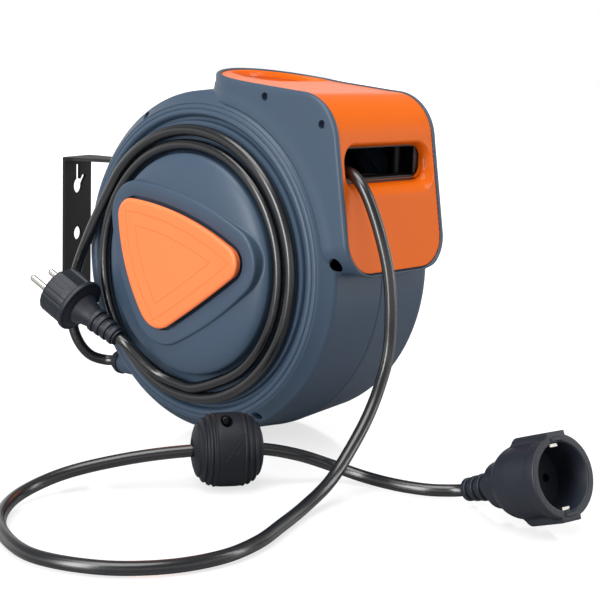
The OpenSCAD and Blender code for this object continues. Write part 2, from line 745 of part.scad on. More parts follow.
module at_bracket() {
    placed() translate([0, pin_y, 0]) rotate([0, 0, rest_turn]) children();
}
module keyhole() {
    translate([0, keyhole_z]) circle(6);
    translate([-2.6, keyhole_z]) square([5.2, 17]);
    translate([-1, keyhole_z]) rotate(-38) translate([0, 0]) square([4.6, 13]);
}
module wall_bracket() {
    arm = [[-bracket_w / 2, bracket_reach], [-bracket_w / 2, bracket_reach - 10], [-ear_r, 6],
           [-ear_r, 0], [ear_r, 0], [ear_r, 6], [bracket_w / 2, bracket_reach - 10],
           [bracket_w / 2, bracket_reach]];
    color("#17181A") at_bracket() difference() {
        union() {
            for (z = [-arm_z - bracket_t, arm_z]) translate([0, 0, z]) {
                linear_extrude(bracket_t) polygon(arm);
                cylinder(r = ear_r, h = bracket_t);
            }
            translate([-bracket_w / 2, bracket_reach - bracket_t, -arm_z - bracket_t])
                cube([bracket_w, bracket_t, bracket_h]);
            for (z = [-arm_z - 0.01, arm_z - 2.49]) translate([-bracket_w / 2, bracket_reach - bracket_t - 2.5, z])
                cube([bracket_w, 2.51, 2.5]);
        }
        for (side = [-1, 1]) mirror([0, 0, side < 0 ? 1 : 0]) {
            translate([0, bracket_reach + 5, 0]) rotate([90, 0, 0]) linear_extrude(20) keyhole();
            translate([-bracket_w / 2 - 1, bracket_reach - bracket_t - 2.5, arm_z - 2.5])
                rotate([0, 90, 0]) cylinder(r = 2.5, h = bracket_w + 2);
        }
        translate([0, bracket_reach + 5, 0]) rotate([90, 0, 0]) cylinder(r = 5.5, h = 20);
        translate([8, bracket_reach + 5, -10]) rotate([90, 0, 0]) cylinder(r = 2.2, h = 20);
        translate([0, 0, -200]) cylinder(r = pin_r + run_gap, h = 400);
    }
}
module swivel_pin() {
    color("#9AA0A6") at_bracket() {
        translate([0, 0, -arm_z - bracket_t - 6]) cylinder(r = pin_r, h = bracket_h + 6);
        translate([0, 0, bracket_h / 2 + 0.02]) cylinder(r = pin_r + 3.5, h = 3);
        translate([0, 0, bracket_h / 2 - 0.5]) cylinder(r = pin_r, h = 1);
    }
}
module swivel_nut() {
    color("#9AA0A6") at_bracket() translate([0, 0, -bracket_h / 2 - 5.1]) difference() {
        cylinder(r = pin_r * 1.9, h = 5, $fn = 6);
        translate([0, 0, -1]) cylinder(r = pin_r + run_gap, h = 9);
    }
}
module swivel_washers() {
    color("#D8D8D4") at_bracket() for (side = [-1, 1]) mirror([0, 0, side < 0 ? 1 : 0])
        translate([0, 0, arm_z - fit_gap - washer_t]) difference() {
            cylinder(r = ear_r - 2, h = washer_t);
            translate([0, 0, -1]) cylinder(r = pin_r + run_gap, h = 9);
        }
}

// Supply lead, its gland and its plug ---------------------------------------------------------------

module lead_inlet() {
    color("#4D5D6B") placed() difference() {
        translate(gland_at - [0, 34, 0]) rotate([-90, 0, 0]) cylinder(r = gland_r - 1, h = 34);
        out_of(-1) inflated_drum();
    }
}
// The drum's outer form grown by the fit gap, used to cut the inlet boss to its surface
module inflated_drum() {
    rotate_extrude($fn = 180) polygon(concat([[0, -60], [drum_r + fit_gap, -60], [drum_r + fit_gap, 12]],
        arc(shoulder_c, shoulder_r + fit_gap, 0, shoulder_end, 10), [[ring_r, 60], [0, 60]]));
}
module lead_gland() {
    color("#1B1D20") placed() translate(gland_at) rotate([-90, 0, 0]) difference() {
        union() {
            translate([0, 0, 0.02]) cylinder(r = gland_r, h = 3);
            cylinder(r = gland_r - 2, h = gland_l);
        }
        translate([0, 0, 2]) cylinder(r = cable_r + fit_gap, h = 20);
    }
}
module lead_start() {
    color("#24272B") placed() tube(lead_start_route, cable_r, 3);
}
// The two turns round the disc, as one closed solid of their outer shape
module lead_coil() {
    color("#24272B") placed() out_of(-1) rotate_extrude()
        translate([inner_turn - cable_r, lead_x - cable_r])
            square([outer_turn - inner_turn + cable_d, cable_d]);
}
module lead_end() {
    color("#24272B") placed() tube(lead_end_route, cable_r, 3);
}
module plug_relief() {
    color("#1B1D20") placed() aimed(plug_at, plug_dir) difference() {
        union() {
            cylinder(r1 = cable_r + 2.2, r2 = 8.2, h = 26);
            for (i = [0:3]) translate([0, 0, 2 + 6 * i]) cylinder(r = 7.4 + 0.6 * i, h = 3.6);
            translate([0, 0, 25.5]) cylinder(r1 = 8.2, r2 = 12.5, h = plug_base - 25.55);
        }
        translate([0, 0, -1]) cylinder(r = cable_r + fit_gap, h = 13);
    }
}
module plug_body() {
    r = plug_d / 2;
    color("#24272B") placed() aimed(plug_at, plug_dir, plug_roll) translate([0, 0, plug_base]) difference() {
        union() {
            translate([0, 0, 2]) cylinder(r = r + 1.4, h = 4);
            translate([0, 0, 5.9]) cylinder(r = r, h = 20);
            cylinder(r1 = 13.5, r2 = r - 2, h = 2.1);
        }
        for (side = [-1, 1]) translate([side * (r + 1.2), 0, 15.5]) cube([7, 11, 22], center = true);
        for (side = [0, 180]) for (turn = [32:16.5:148]) rotate([0, 0, side + turn])
            translate([r + 0.6, 0, 6.3]) cylinder(r = 1.2, h = 22);
        translate([0, 0, 23]) cylinder(r = r - 2.4, h = 9);
    }
}
module plug_face() {
    color("#1B1D20") placed() aimed(plug_at, plug_dir, plug_roll) translate([0, 0, plug_base + 23.02]) difference() {
        cylinder(r = plug_d / 2 - 2.4 - fit_gap, h = 2.4);
        for (side = [-1, 1]) translate([0, side * 9.5, -1]) cylinder(r = 2.4 + run_gap, h = 9);
    }
}
module plug_pins() {
    color("#C9CCD0") placed() aimed(plug_at, plug_dir, plug_roll) for (side = [-1, 1])
        translate([0, side * 9.5, plug_base + 23.04]) {
            cylinder(r = 2.4, h = 20);
            translate([0, 0, 20]) sphere(2.4, $fn = 32);
        }
}

// Output cord, its stop ball and its socket -----------------------------------------------------------

module output_cord() {
    color("#24272B") placed() tube(output_route, cable_r, 2);
}
module half_ball(side) {
    r = ball_d / 2;
    squash = 0.94;
    profile = concat([[cable_r + fit_gap, -r * squash], [9, -r * squash]],
        [for (a = [-68:8:68]) [r * cos(a) + (abs(a) > 28 ? (floor(a / 8) % 2) * 0.6 : 0), r * sin(a)]],
        [[9, r * squash], [cable_r + fit_gap, r * squash]]);
    color("#24272B") placed() aimed(ball_at, ball_dir) difference() {
        rotate_extrude() polygon(profile);
        translate([-60, side > 0 ? -60 : -seam, -60]) cube([120, 60 + seam, 120]);
        for (z = [-12, 12]) translate([-13, 0, z]) rotate([90, 0, 0]) cylinder(r = 1.8, h = 80, center = true);
        if (side < 0) for (z = [-12, 12]) translate([-13, -8, z]) rotate([90, 0, 0]) cylinder(r = 3.4, h = 30);
    }
}
module ball_left() {
    half_ball(-1);
}
module ball_right() {
    half_ball(1);
}
module ball_screws() {
    color("#9AA0A6") placed() aimed(ball_at, ball_dir) for (z = [-12, 12])
        translate([-13, 0, z]) rotate([90, 0, 0]) {
            translate([0, 0, -8]) cylinder(r = 1.7, h = 16);
            translate([0, 0, 8.02]) cylinder(r = 3.1, h = 2.4);
        }
}
module socket_relief() {
    color("#1B1D20") placed() aimed(socket_end, socket_dir) difference() {
        union() {
            cylinder(r1 = cable_r + 1.2, r2 = 7.2, h = socket_neck);
            for (i = [0:3]) translate([0, 0, 1 + 4.8 * i]) cylinder(r = 5.8 + 0.7 * i, h = 2.8);
        }
        translate([0, 0, -1]) cylinder(r = cable_r + fit_gap, h = 13);
    }
}
// Collar, bell and front flange in one turn, with a ridge above and below
module socket_body() {
    r = socket_d / 2;
    bell_r = r - 1.8;
    low = socket_neck + 0.02;
    bell = arc([bell_r - 18, low + 30], 18, -64, 0, 8);
    ridge = [[bell_r - 2, low + 26], [r - 1, low + 26], [r + 1.5, low + 30], [r + 1.5, socket_l],
             [recess_r + 1, socket_l], [recess_r + 1, low + 30]];
    color("#24272B") placed() aimed(socket_end, socket_dir) union() {
        rotate_extrude($fn = 64) polygon(concat(
            [[0, low], [11.4, low], [12.7, low + 1.4], [12.7, low + 12]], bell,
            [[bell_r, socket_l - 9], [r, socket_l - 7.6], [r, socket_l - 0.8], [r - 0.8, socket_l],
             [recess_r, socket_l], [recess_r, socket_l - recess_d], [0, socket_l - recess_d]]));
        for (turn = [0, 180]) rotate([0, 0, turn]) translate([0, rib_half, 0]) rotate([90, 0, 0])
            linear_extrude(2 * rib_half) polygon(ridge);
    }
}
module socket_insert() {
    color("#1B1D20") placed() aimed(socket_end, socket_dir)
        translate([0, 0, socket_l - recess_d + 0.02]) difference() {
            cylinder(r = recess_r - fit_gap, h = 1.6);
            for (side = [-1, 1]) translate([0, side * 9.5, -1]) cylinder(r = 2.6, h = 9);
        }
}
module socket_clips() {
    color("#C9CCD0") placed() aimed(socket_end, socket_dir) for (side = [-1, 1])
        translate([side * (recess_r - 1.4) - 0.9, -3, socket_l - recess_d + 1.7]) cube([1.8, 6, 13]);
}

wall_bracket();
swivel_pin();
swivel_nut();
swivel_washers();
front_shell();
rear_shell();
outlet_insert();
badge();
housing_screws();
swivel_boss();
axle();
axle_spacers();
roller_frame();
roller_pins();
pawl_pin();
brush_carrier();
brushes();
lead_inlet();
lead_gland();
lead_start();
lead_coil();
lead_end();
plug_relief();
plug_body();
plug_pins();
plug_face();
output_cord();
ball_left();
ball_right();
ball_screws();
socket_relief();
socket_body();
socket_insert();
socket_clips();
spool_hub();
near_flange();
far_flange();
cable_winding();
ratchet();
mainspring();
spring_cover();
slip_ring_core();
slip_rings();
pawl();
roller_top();
roller_bottom();
roller_left();
roller_right();
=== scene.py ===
import bmesh
import bpy
import numpy as np
from mathutils import Matrix


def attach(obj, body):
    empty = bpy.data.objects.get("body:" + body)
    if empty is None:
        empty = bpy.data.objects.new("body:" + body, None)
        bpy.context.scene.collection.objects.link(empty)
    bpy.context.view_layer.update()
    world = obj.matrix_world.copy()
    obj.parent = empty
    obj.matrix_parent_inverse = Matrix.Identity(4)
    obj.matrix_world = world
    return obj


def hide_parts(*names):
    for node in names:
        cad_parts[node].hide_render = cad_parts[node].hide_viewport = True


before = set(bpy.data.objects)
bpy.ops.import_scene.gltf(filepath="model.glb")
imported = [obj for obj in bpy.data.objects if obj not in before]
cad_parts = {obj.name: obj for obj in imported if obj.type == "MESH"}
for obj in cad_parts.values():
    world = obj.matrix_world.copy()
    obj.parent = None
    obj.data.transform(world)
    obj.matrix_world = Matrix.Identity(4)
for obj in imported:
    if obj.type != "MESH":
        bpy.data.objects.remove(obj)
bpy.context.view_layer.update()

# Camera -----------------------------------
# A long lens from in front of the badge and the outlet, a little above the drum's
# middle, so that both the round face and the outlet head are seen.
camera_data = bpy.data.cameras.new("camera")
camera_data.sensor_width = 36.0
camera_data.lens = 90.07
camera_data.clip_start, camera_data.clip_end = 0.05, 50.0


def in_scene(name, data):
    """A new object with the data, linked to the scene."""
    made = bpy.data.objects.new(name, data)
    bpy.context.scene.collection.objects.link(made)
    return made


camera = in_scene("camera", camera_data)
bpy.context.scene.camera = camera
turn, tilt, lean = -0.854107, 0.168475, 0.029918
back = np.array([np.sin(turn) * np.cos(tilt), -np.cos(turn) * np.cos(tilt), np.sin(tilt)])
level = np.array([np.cos(turn), np.sin(turn), 0.0])
upright = np.cross(back, level)
right = np.cos(lean) * level + np.sin(lean) * upright
above = np.cos(lean) * upright - np.sin(lean) * level
view = np.eye(4)
view[:3, 0], view[:3, 1], view[:3, 2] = right, above, back
view[:3, 3] = [-0.7813, -0.9213, 0.1538]
camera.matrix_world = Matrix(view.tolist())

# Output cord ------------------------------
# Three-core H07 cable with an 8 mm round rubber jacket. It comes off the spool, runs out
# between the guide rollers and lies on the floor in one loop, through the stop ball.
DRUM_TO_ROW = np.array([11.9057, -179.4326, 0.0])
CABLE_R = 4.0
SMOOTH_BELOW = 38.0  # degrees: an edge that turns less than this is shaded smooth


def place(points):
    """Drum millimetres to row metres: the drum's origin is moved, then divided by 1000."""
    return (np.asarray(points, float) + DRUM_TO_ROW) / 1000.0


def linear(code):
    """sRGB hex to linear: below 0.04045 a twelfth and a bit, above it the 2.4 power curve."""
    value = np.array([int(code[k : k + 2], 16) for k in (1, 3, 5)]) / 255.0
    value = np.where(value <= 0.04045, value / 12.92, ((value + 0.055) / 1.055) ** 2.4)
    return (*value.tolist(), 1.0)


def add(tree, kind, inputs=(), **settings):
    """Adds one node: settings are its own fields, inputs are socket values or sockets to link."""
    made = tree.nodes.new(kind)
    for field, value in settings.items():
        setattr(made, field, value)
    for socket, value in dict(inputs).items():
        if isinstance(value, bpy.types.NodeSocket):
            tree.links.new(value, made.inputs[socket])
        else:
            made.inputs[socket].default_value = value
    return made


def finish_of(name, base, shade, rough, grain_mm, depth_mm, patch_mm=40.0, metal=0.0, laid=None,
              **sockets):
    """A material whose base colour drifts towards shade in soft patches, whose roughness
    wanders between two values, and whose surface is grained by a fine noise bump. laid is how
    much longer than wide the grain is on a cord, whose own attribute then carries it."""
    made = bpy.data.materials.new(name)
    made.use_nodes = True
    tree = made.node_tree
    tree.nodes.clear()
    if laid:
        where = add(tree, "ShaderNodeAttribute", attribute_name="laid").outputs["Vector"]
        fine = add(tree, "ShaderNodeVectorMath", {0: where, 1: (1.0, 1.0, 1.0 / laid)},
                   operation="MULTIPLY").outputs[0]
    else:
        where = fine = add(tree, "ShaderNodeTexCoord").outputs["Object"]
    drift = add(tree, "ShaderNodeTexNoise", {"Vector": where, "Scale": 1000.0 / patch_mm,
                "Detail": 4.0, "Roughness": 0.55})
    colour = add(tree, "ShaderNodeMix", {0: drift.outputs[0], 6: linear(base), 7: linear(shade)},
                 data_type="RGBA")
    grain = add(tree, "ShaderNodeTexNoise", {"Vector": fine, "Scale": 1000.0 / grain_mm,
                "Detail": 3.0, "Roughness": 0.6})
    wander = add(tree, "ShaderNodeMapRange", {0: grain.outputs[0], 1: 0.3, 2: 0.7, 3: rough[0],
                 4: rough[1]})
    bump = add(tree, "ShaderNodeBump", {"Height": grain.outputs[0], "Strength": 0.6,
               "Distance": depth_mm / 1000.0})
    shader = add(tree, "ShaderNodeBsdfPrincipled", {"Base Color": colour.outputs[2],
                 "Roughness": wander.outputs[0], "Normal": bump.outputs[0], "Metallic": metal,
                 **{key.replace("_", " "): value for key, value in sockets.items()}})
    add(tree, "ShaderNodeOutputMaterial", {"Surface": shader.outputs[0]})
    return made


def quads(grid, wrap=True, caps=False):
    """A grid of points, rows by columns, as vertices and four-sided faces. wrap joins the last
    column to the first, and caps closes the first and last rows."""
    n, m = grid.shape[:2]
    i, j = np.meshgrid(np.arange(n - 1), np.arange(m if wrap else m - 1), indexing="ij")
    k = (j + 1) % m
    faces = np.stack([i * m + j, i * m + k, (i + 1) * m + k, (i + 1) * m + j], -1)
    faces = faces.reshape(-1, 4).tolist()
    if caps:
        faces += [list(range(m))[::-1], list(range((n - 1) * m, n * m))]
    return grid.reshape(-1, 3), faces


def piece(name, patches, finish, body, sharp=SMOOTH_BELOW, stands_for=(), laid=None):
    """Joins the patches into one mesh, merges doubles at seams and poles, turns the faces
    outwards, shades it smooth but for edges sharper than an angle, and hangs it on its body.
    laid gives each point of a cord its place in the straightened cord, in metres."""
    mesh = bpy.data.meshes.new(name)
    points, faces, start = [], [], 0
    for verts, polys in patches:
        points.append(verts)
        faces += [[v + start for v in poly] for poly in polys]
        start += len(verts)
    mesh.from_pydata(place(np.concatenate(points)).tolist(), [], faces)
    if laid is not None:
        store = mesh.attributes.new("laid", "FLOAT_VECTOR", "POINT")
        store.data.foreach_set("vector", laid.ravel())
    shape = bmesh.new()
    shape.from_mesh(mesh)
    bmesh.ops.remove_doubles(shape, verts=shape.verts, dist=2e-6)
    bmesh.ops.dissolve_degenerate(shape, edges=shape.edges, dist=1e-7)
    bmesh.ops.recalc_face_normals(shape, faces=shape.faces)
    shape.to_mesh(mesh)
    shape.free()
    mesh.shade_smooth()
    mesh.set_sharp_from_angle(angle=np.radians(sharp))
    mesh.materials.append(finish)
    made = in_scene(name, mesh)
    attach(made, body)
    if stands_for:
        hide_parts(*stands_for)
    return made


def smooth_line(route, steps):
    """Catmull-Rom: each stretch is the cubic through its two points with the slopes that its
    neighbours give."""
    p = np.asarray(route, float)
    p0 = np.vstack([p[:1], p[:-2]])
    p1, p2 = p[:-1], p[1:]
    p3 = np.vstack([p[2:], p[-1:]])
    t = (np.arange(steps) / steps)[:, None, None]
    line = 0.5 * (2 * p1 + (p2 - p0) * t + (2 * p0 - 5 * p1 + 4 * p2 - p3) * t**2
                  + (3 * p1 - p0 - 3 * p2 + p3) * t**3)
    return np.vstack([line.transpose(1, 0, 2).reshape(-1, 3), p[-1:]])


def run_of(line):
    """The distance along a line of points at each of them."""
    return np.concatenate([[0], np.cumsum(np.linalg.norm(np.diff(line, axis=0), axis=1))])


def unit(v):
    """Each vector divided by its length."""
    return v / np.linalg.norm(v, axis=-1, keepdims=True)


def tube(line, radius, sides=20):
    """A ring of points round each point of the line, at right angles to it, each ring turned
    as little as possible from the last; radius is one number or one for each point."""
    way = unit(np.gradient(line, axis=0))
    side = np.cross(way[0], [0.0, 0.0, 1.0] if abs(way[0][2]) < 0.9 else [0.0, 1.0, 0.0])
    sides_of = []
    for d in way:
        side = unit(side - side.dot(d) * d)
        sides_of.append(side)
    u = np.array(sides_of)
    v = np.cross(way, u)
    a = np.linspace(0, 2 * np.pi, sides, endpoint=False)
    r = np.broadcast_to(np.asarray(radius, float), len(line))[:, None, None]
    ring = np.cos(a)[None, :, None] * u[:, None] + np.sin(a)[None, :, None] * v[:, None]
    return line[:, None] + r * ring


def straightened(line, radius, sides=20):
    """Where each point of a tube lies in the straightened cord: X and Y round its section, and
    Z the distance along it."""
    a = np.linspace(0, 2 * np.pi, sides, endpoint=False)
    parts = radius * np.cos(a), radius * np.sin(a), run_of(line)[:, None]
    flat = np.stack([np.broadcast_to(part, (len(line), sides)) for part in parts], -1)
    return flat.reshape(-1, 3) / 1000.0


# Vulcanised rubber, extruded: near black, with faint die lines along it that stretch its
# highlights, and duller patches where it has been dragged.
jacket = finish_of("cable_rubber", "#08090C", "#0E1014", (0.20, 0.30), 0.7, 0.03, 22.0, laid=30.0,
                   IOR=1.6, Coat_Weight=0.35, Coat_Roughness=0.28)

output_route = [
    [-14, 12, 78], [-19, -25, 78], [-24, -62, 77], [-26, -78, 76], [-32, -98, 74], [-33, -109, 73],
    [-35, -122, 72], [-37, -132, 66], [-37, -140, 55], [-37, -150, 34], [-36, -157, 10],
    [-36, -160, -15], [-37, -160, -42], [-46, -161, -62], [-60, -163, -80], [-80, -166, -97],
    [-104, -170, -112], [-134, -176, -120], [-168, -188, -121], [-200, -199, -121],
    [-232, -202, -121], [-264, -192, -121], [-290, -168, -121], [-303, -130, -121],
    [-292, -90, -121], [-270, -60, -121], [-240, -41, -119], [-205, -42, -113],
    [-170, -63, -106], [-138, -88, -102], [-107, -111, -102], [-85, -126, -107],
    [-66, -139, -115], [-57, -158, -120], [-54, -182, -121], [-48, -203, -121], [-40, -218, -120],
    [-37, -227, -118],
]
output_line = smooth_line(output_route, 8)
output_cord = piece("output_cord_jacket", [quads(tube(output_line, CABLE_R), caps=True)], jacket,
                    "housing", stands_for=["output_cord"],
                    laid=straightened(output_line, CABLE_R))

# Stop ball --------------------------------
# Two glass-filled nylon halves, clamped on the cord by a screw from each side so that it
# can't be pulled back into the housing. Ribs run round both ends of a smooth middle band.
BALL_AT, BALL_WAY, BALL_R, BALL_ROLL = [-122.5, -99.6, -101.8], [0.80, -0.595, 0.0], 24.0, -15.0
BALL_SCREW_OFF, BALL_SCREW_UP, BALL_HOLE_R, BALL_BAND_HALF, RIB_PITCH = 17.6, -2.2, 3.9, 8.2, 3.6


def about_z(a):
    """The matrix that turns points by the angle a about Z."""
    return np.array([[np.cos(a), -np.sin(a), 0], [np.sin(a), np.cos(a), 0], [0, 0, 1]])


def aimed(points, at, way, roll=0.0):
    """Turns points built up +Z so that Z lies along way, rolled about it, and moves them to at."""
    d = unit(np.asarray(way, float))
    lift, swing, spin = np.arccos(d[2]), np.arctan2(d[1], d[0]), np.radians(roll)
    about_y = np.array([[np.cos(lift), 0, np.sin(lift)], [0, 1, 0],
                        [-np.sin(lift), 0, np.cos(lift)]])
    return np.asarray(points) @ (about_z(swing) @ about_y @ about_z(spin)).T + np.asarray(at, float)


def lathe(profile, sides=96):
    """Turns a profile of (radius, height) pairs about Z: x is r cos a, y is r sin a."""
    p = np.asarray(profile, float)
    a = np.linspace(0, 2 * np.pi, sides, endpoint=False)
    return np.stack([p[:, :1] * np.cos(a), p[:, :1] * np.sin(a),
                     np.repeat(p[:, 1:], sides, axis=1)], -1)


def bend(centre, radius, start, end, count=8):
    """Points on an arc, in degrees from start to end."""
    a = np.radians(np.linspace(start, end, count))
    return np.stack([centre[0] + radius * np.cos(a), centre[1] + radius * np.sin(a)], -1)


def drill(target, cutters):
    """Cuts each closed patch, given in drum millimetres, out of a piece."""
    cutter = piece("cutter", cutters, target.data.materials[0], "housing")
    cut = target.modifiers.new("holes", "BOOLEAN")
    cut.operation, cut.solver, cut.object = "DIFFERENCE", "EXACT", cutter
    done = target.evaluated_get(bpy.context.evaluated_depsgraph_get())
    done = bpy.data.meshes.new_from_object(done)
    target.modifiers.clear()
    target.data = done
    done.set_sharp_from_angle(angle=np.radians(SMOOTH_BELOW))
    bpy.data.objects.remove(cutter)


def screw_head(r, rise):
    """Profile of a pan head whose top is at height 0: a quarter ellipse down to the rim, and a
    socket in the middle with its floor at 0.6 of the rise."""
    a = np.linspace(0, np.pi / 2, 7)
    dome = np.stack([r * (0.45 + 0.55 * np.sin(a)), -rise * (1 - np.cos(a))], -1)
    return np.vstack([[[0, -0.6 * rise], [0.36 * r, -0.6 * rise]], dome,
                      [[r, -rise - 0.6], [0.5 * r, -rise - 0.7], [0.5 * r, -rise - 4],
                       [0, -rise - 4]]])


# Glass-filled nylon, moulded in a spark-eroded tool: dark slate, matt with soft highlights.
ball_plastic = finish_of("ball_nylon", "#0A0E15", "#10151D", (0.48, 0.60), 0.8, 0.06, 14.0,
                         Specular_IOR_Level=0.3)
z = np.linspace(-0.94 * BALL_R, 0.94 * BALL_R, 181)
hull = BALL_R * np.sqrt(np.clip(1 - np.abs(z / BALL_R) ** 3.2, 0, 1)) * 0.985
from_band = np.abs(z) - BALL_BAND_HALF
rib = np.clip(1.6 * np.sin(2 * np.pi * from_band / RIB_PITCH), -1, 1)
hull = hull + np.clip(from_band / 0.8, 0, 1) * 0.5 * rib
ball_profile = np.vstack([[4.3, -20.5], [7.5, -21.6], [8.5, -22.4],
                          np.stack([hull, z], -1)[4:-4], [8.5, 22.4], [7.5, 21.6], [4.3, 20.5]])


def in_ball(grid, side):
    """A turned shape with its axis laid across the ball's, out of one side and off to one end."""
    across = np.stack([grid[..., 0] + side * BALL_SCREW_OFF, side * grid[..., 2],
                       grid[..., 1] + BALL_SCREW_UP], -1)
    return aimed(across, BALL_AT, BALL_WAY, BALL_ROLL)


ball_patch = quads(aimed(lathe(ball_profile, 144), BALL_AT, BALL_WAY, BALL_ROLL))
stop_ball = piece("stop_ball", [ball_patch], ball_plastic, "housing",
                  stands_for=["ball_left", "ball_right"])
hole_grid = lathe([[BALL_HOLE_R, 9.0], [BALL_HOLE_R, 16.0], [BALL_HOLE_R, 30.0]], 40)
drill(stop_ball, [quads(in_ball(hole_grid, side), caps=True) for side in (-1, 1)])
# Three slanting lines stand a little proud of the smooth band, as the mould left them: each
# runs from one height along the axis and one rise over the horizontal to another.
line_patches = []
for z0, rise0, z1, rise1 in [(8.6, 37, -3.9, -4), (6.4, 40, -0.6, 16), (7.2, 20, 2.4, 3)]:
    t = np.linspace(0, 1, 24)
    along, about = z0 + (z1 - z0) * t, np.radians(270 - rise0 - (rise1 - rise0) * t)
    r = np.interp(along, z, hull) + 0.05
    line = aimed(np.stack([r * np.cos(about), r * np.sin(about), along], -1), BALL_AT, BALL_WAY)
    line_patches.append(quads(tube(line, 0.32, 8), caps=True))
ball_lines = piece("ball_mould_lines", line_patches, ball_plastic, "housing")
# Blackened steel pan heads, deep in their holes.
black_steel = finish_of("blackened_steel", "#1A1B1D", "#242527", (0.30, 0.42), 0.4, 0.01, 6.0,
                        metal=0.8)
screw_grid = lathe(screw_head(3.1, 1.6) + [0, 11.6], 32)
ball_screws = piece("ball_clamp_screws", [quads(in_ball(screw_grid, side)) for side in (-1, 1)],
                    black_steel, "housing", stands_for=["ball_screws"])

# Coupler ----------------------------------
# The moulded-on rubber socket at the cord's end: a ribbed relief, a collar that swells to a
# round bell, a flange with a ridge above and below, and a deep recess with two earth clips.
SOCKET_AT, SOCKET_WAY = [-37, -227, -118], [-0.186, -0.92, 0.34]
COLLAR_AT, SOCKET_L, RECESS_FLOOR, RIDGE_HALF, PIN_OFF, PIN_HOLE_R = 29.0, 84.0, 60.0, 7.5, 9.5, 2.6


def ease(t):
    """Smoothstep: 3t^2 - 2t^3 between 0 and 1."""
    t = np.clip(t, 0, 1)
    return t * t * (3 - 2 * t)


# Soft moulded rubber: a shade greyer than the cable's jacket and duller, with a fine skin.
coupler_rubber = finish_of("coupler_rubber", "#121722", "#181E29", (0.42, 0.56), 0.7, 0.05, 18.0,
                           IOR=1.5)


def rib(foot, r, wide):
    """Profile of one rib of a cable relief from its foot on, with its edges rounded."""
    return [[r - 0.3, foot + 0.1], [r, foot + 0.5], [r, foot + wide],
            [r - 0.3, foot + wide + 0.4], [r - 1.5, foot + wide + 0.6]]


relief_profile = [[4.1, 0], [5.0, 0.1]]
for k in range(4):
    foot, r = 1.0 + 6.9 * k, 7.4 + 0.6 * k
    relief_profile += [[r - 1.5, foot], *rib(foot, r, 3.5), [r - 1.6, foot + 6.7]]
relief_profile += [[4.1, COLLAR_AT - 0.1]]
relief_grid = aimed(lathe(relief_profile, 64), SOCKET_AT, SOCKET_WAY)
coupler_relief = piece("coupler_relief", [quads(relief_grid)], coupler_rubber, "housing",
                       30.0, ["socket_relief"])
# Each row is radius, height, and how far the two ridges reach there (0 where there is none).
bell = [[r, h, 0] for r, h in bend((6.9, 52.0), 15.7, -50, -3, 12)]
body_rows = np.array([
    [4.2, COLLAR_AT, 0], [12.8, COLLAR_AT, 0], [13.7, 29.3, 0], [14.4, 30.0, 0],
    [14.6, 30.9, 0], [14.6, 38.6, 0], [14.8, 39.2, 0], [15.6, 39.6, 0], *bell,
    [22.8, 54.0, 23.6], [22.9, 54.6, 24.6], [23.1, 56.4, 25.8], [23.2, 58.0, 26.4],
    [23.2, 60.0, 26.5], [23.2, 74.4, 26.5], [23.3, 75.2, 26.5], [23.8, 75.8, 26.5],
    [24.7, 76.2, 26.5], [25.0, 76.9, 26.5], [25.0, 82.9, 26.5], [24.9, 83.5, 26.4],
    [24.6, 83.9, 26.0], [24.1, SOCKET_L, 25.4], [23.6, SOCKET_L, 0], [23.2, SOCKET_L, 0],
    [21.2, SOCKET_L, 0], [20.8, SOCKET_L, 0], [20.3, 83.8, 0], [20.0, 83.3, 0],
    [20.0, 67.4, 0], [19.4, RECESS_FLOOR, 0], [0, RECESS_FLOOR, 0]])
quarter = np.radians([0, 3, 6, 9, 11, 12.5, 14, 15, 15.6, 16, 16.4, 16.8, 17.2, 17.7, 18.4, 20,
                      *range(24, 85, 5)])
round_it = np.concatenate([quarter, np.pi - quarter, np.pi + quarter, 2 * np.pi - quarter[1:],
                           [np.pi / 2, 1.5 * np.pi]])
round_it = np.unique(np.round(round_it, 6))
ridge = np.minimum(body_rows[:, 2:] / np.abs(np.cos(round_it)),
                   RIDGE_HALF / np.maximum(np.abs(np.sin(round_it)), 1e-6))
reach = np.maximum(body_rows[:, :1], np.where(body_rows[:, 2:] > 0, ridge, 0))
# Where the ridges meet the flange's face a low pad stands up on it.
pad = ease((5.2 - reach * np.abs(np.sin(round_it))) / 0.8) * (np.abs(np.cos(round_it)) > 0.5)
on_face = (body_rows[:, 1:2] == SOCKET_L) & (body_rows[:, :1] > 21.0) & (body_rows[:, :1] < 23.5)
height = body_rows[:, 1:2] + np.where(on_face, 0.9 * pad, 0)
body_grid = np.stack([reach * np.cos(round_it), reach * np.sin(round_it), height], -1)
coupler_body = piece("coupler_body", [quads(aimed(body_grid, SOCKET_AT, SOCKET_WAY))],
                     coupler_rubber, "housing", 30.0,
                     ["socket_body", "socket_insert"])
pin_hole = lathe([[PIN_HOLE_R, 50.0], [PIN_HOLE_R, 64.0]], 32)
drill(coupler_body, [quads(aimed(pin_hole + [0, side * PIN_OFF, 0], SOCKET_AT, SOCKET_WAY),
                           caps=True) for side in (-1, 1)])


def dress(finish, *names):
    """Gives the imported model's own solids, which keep their shapes, their finish."""
    for name in names:
        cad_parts[name].data.materials.clear()
        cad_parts[name].data.materials.append(finish)


# Nickel plate on brass: bright, a little warm, with fine polishing marks.
nickel_plate = finish_of("nickel_plate", "#D2CFC8", "#DEDBD4", (0.14, 0.26), 0.4, 0.006, 8.0,
                         metal=1.0)
dress(nickel_plate, "socket_clips")

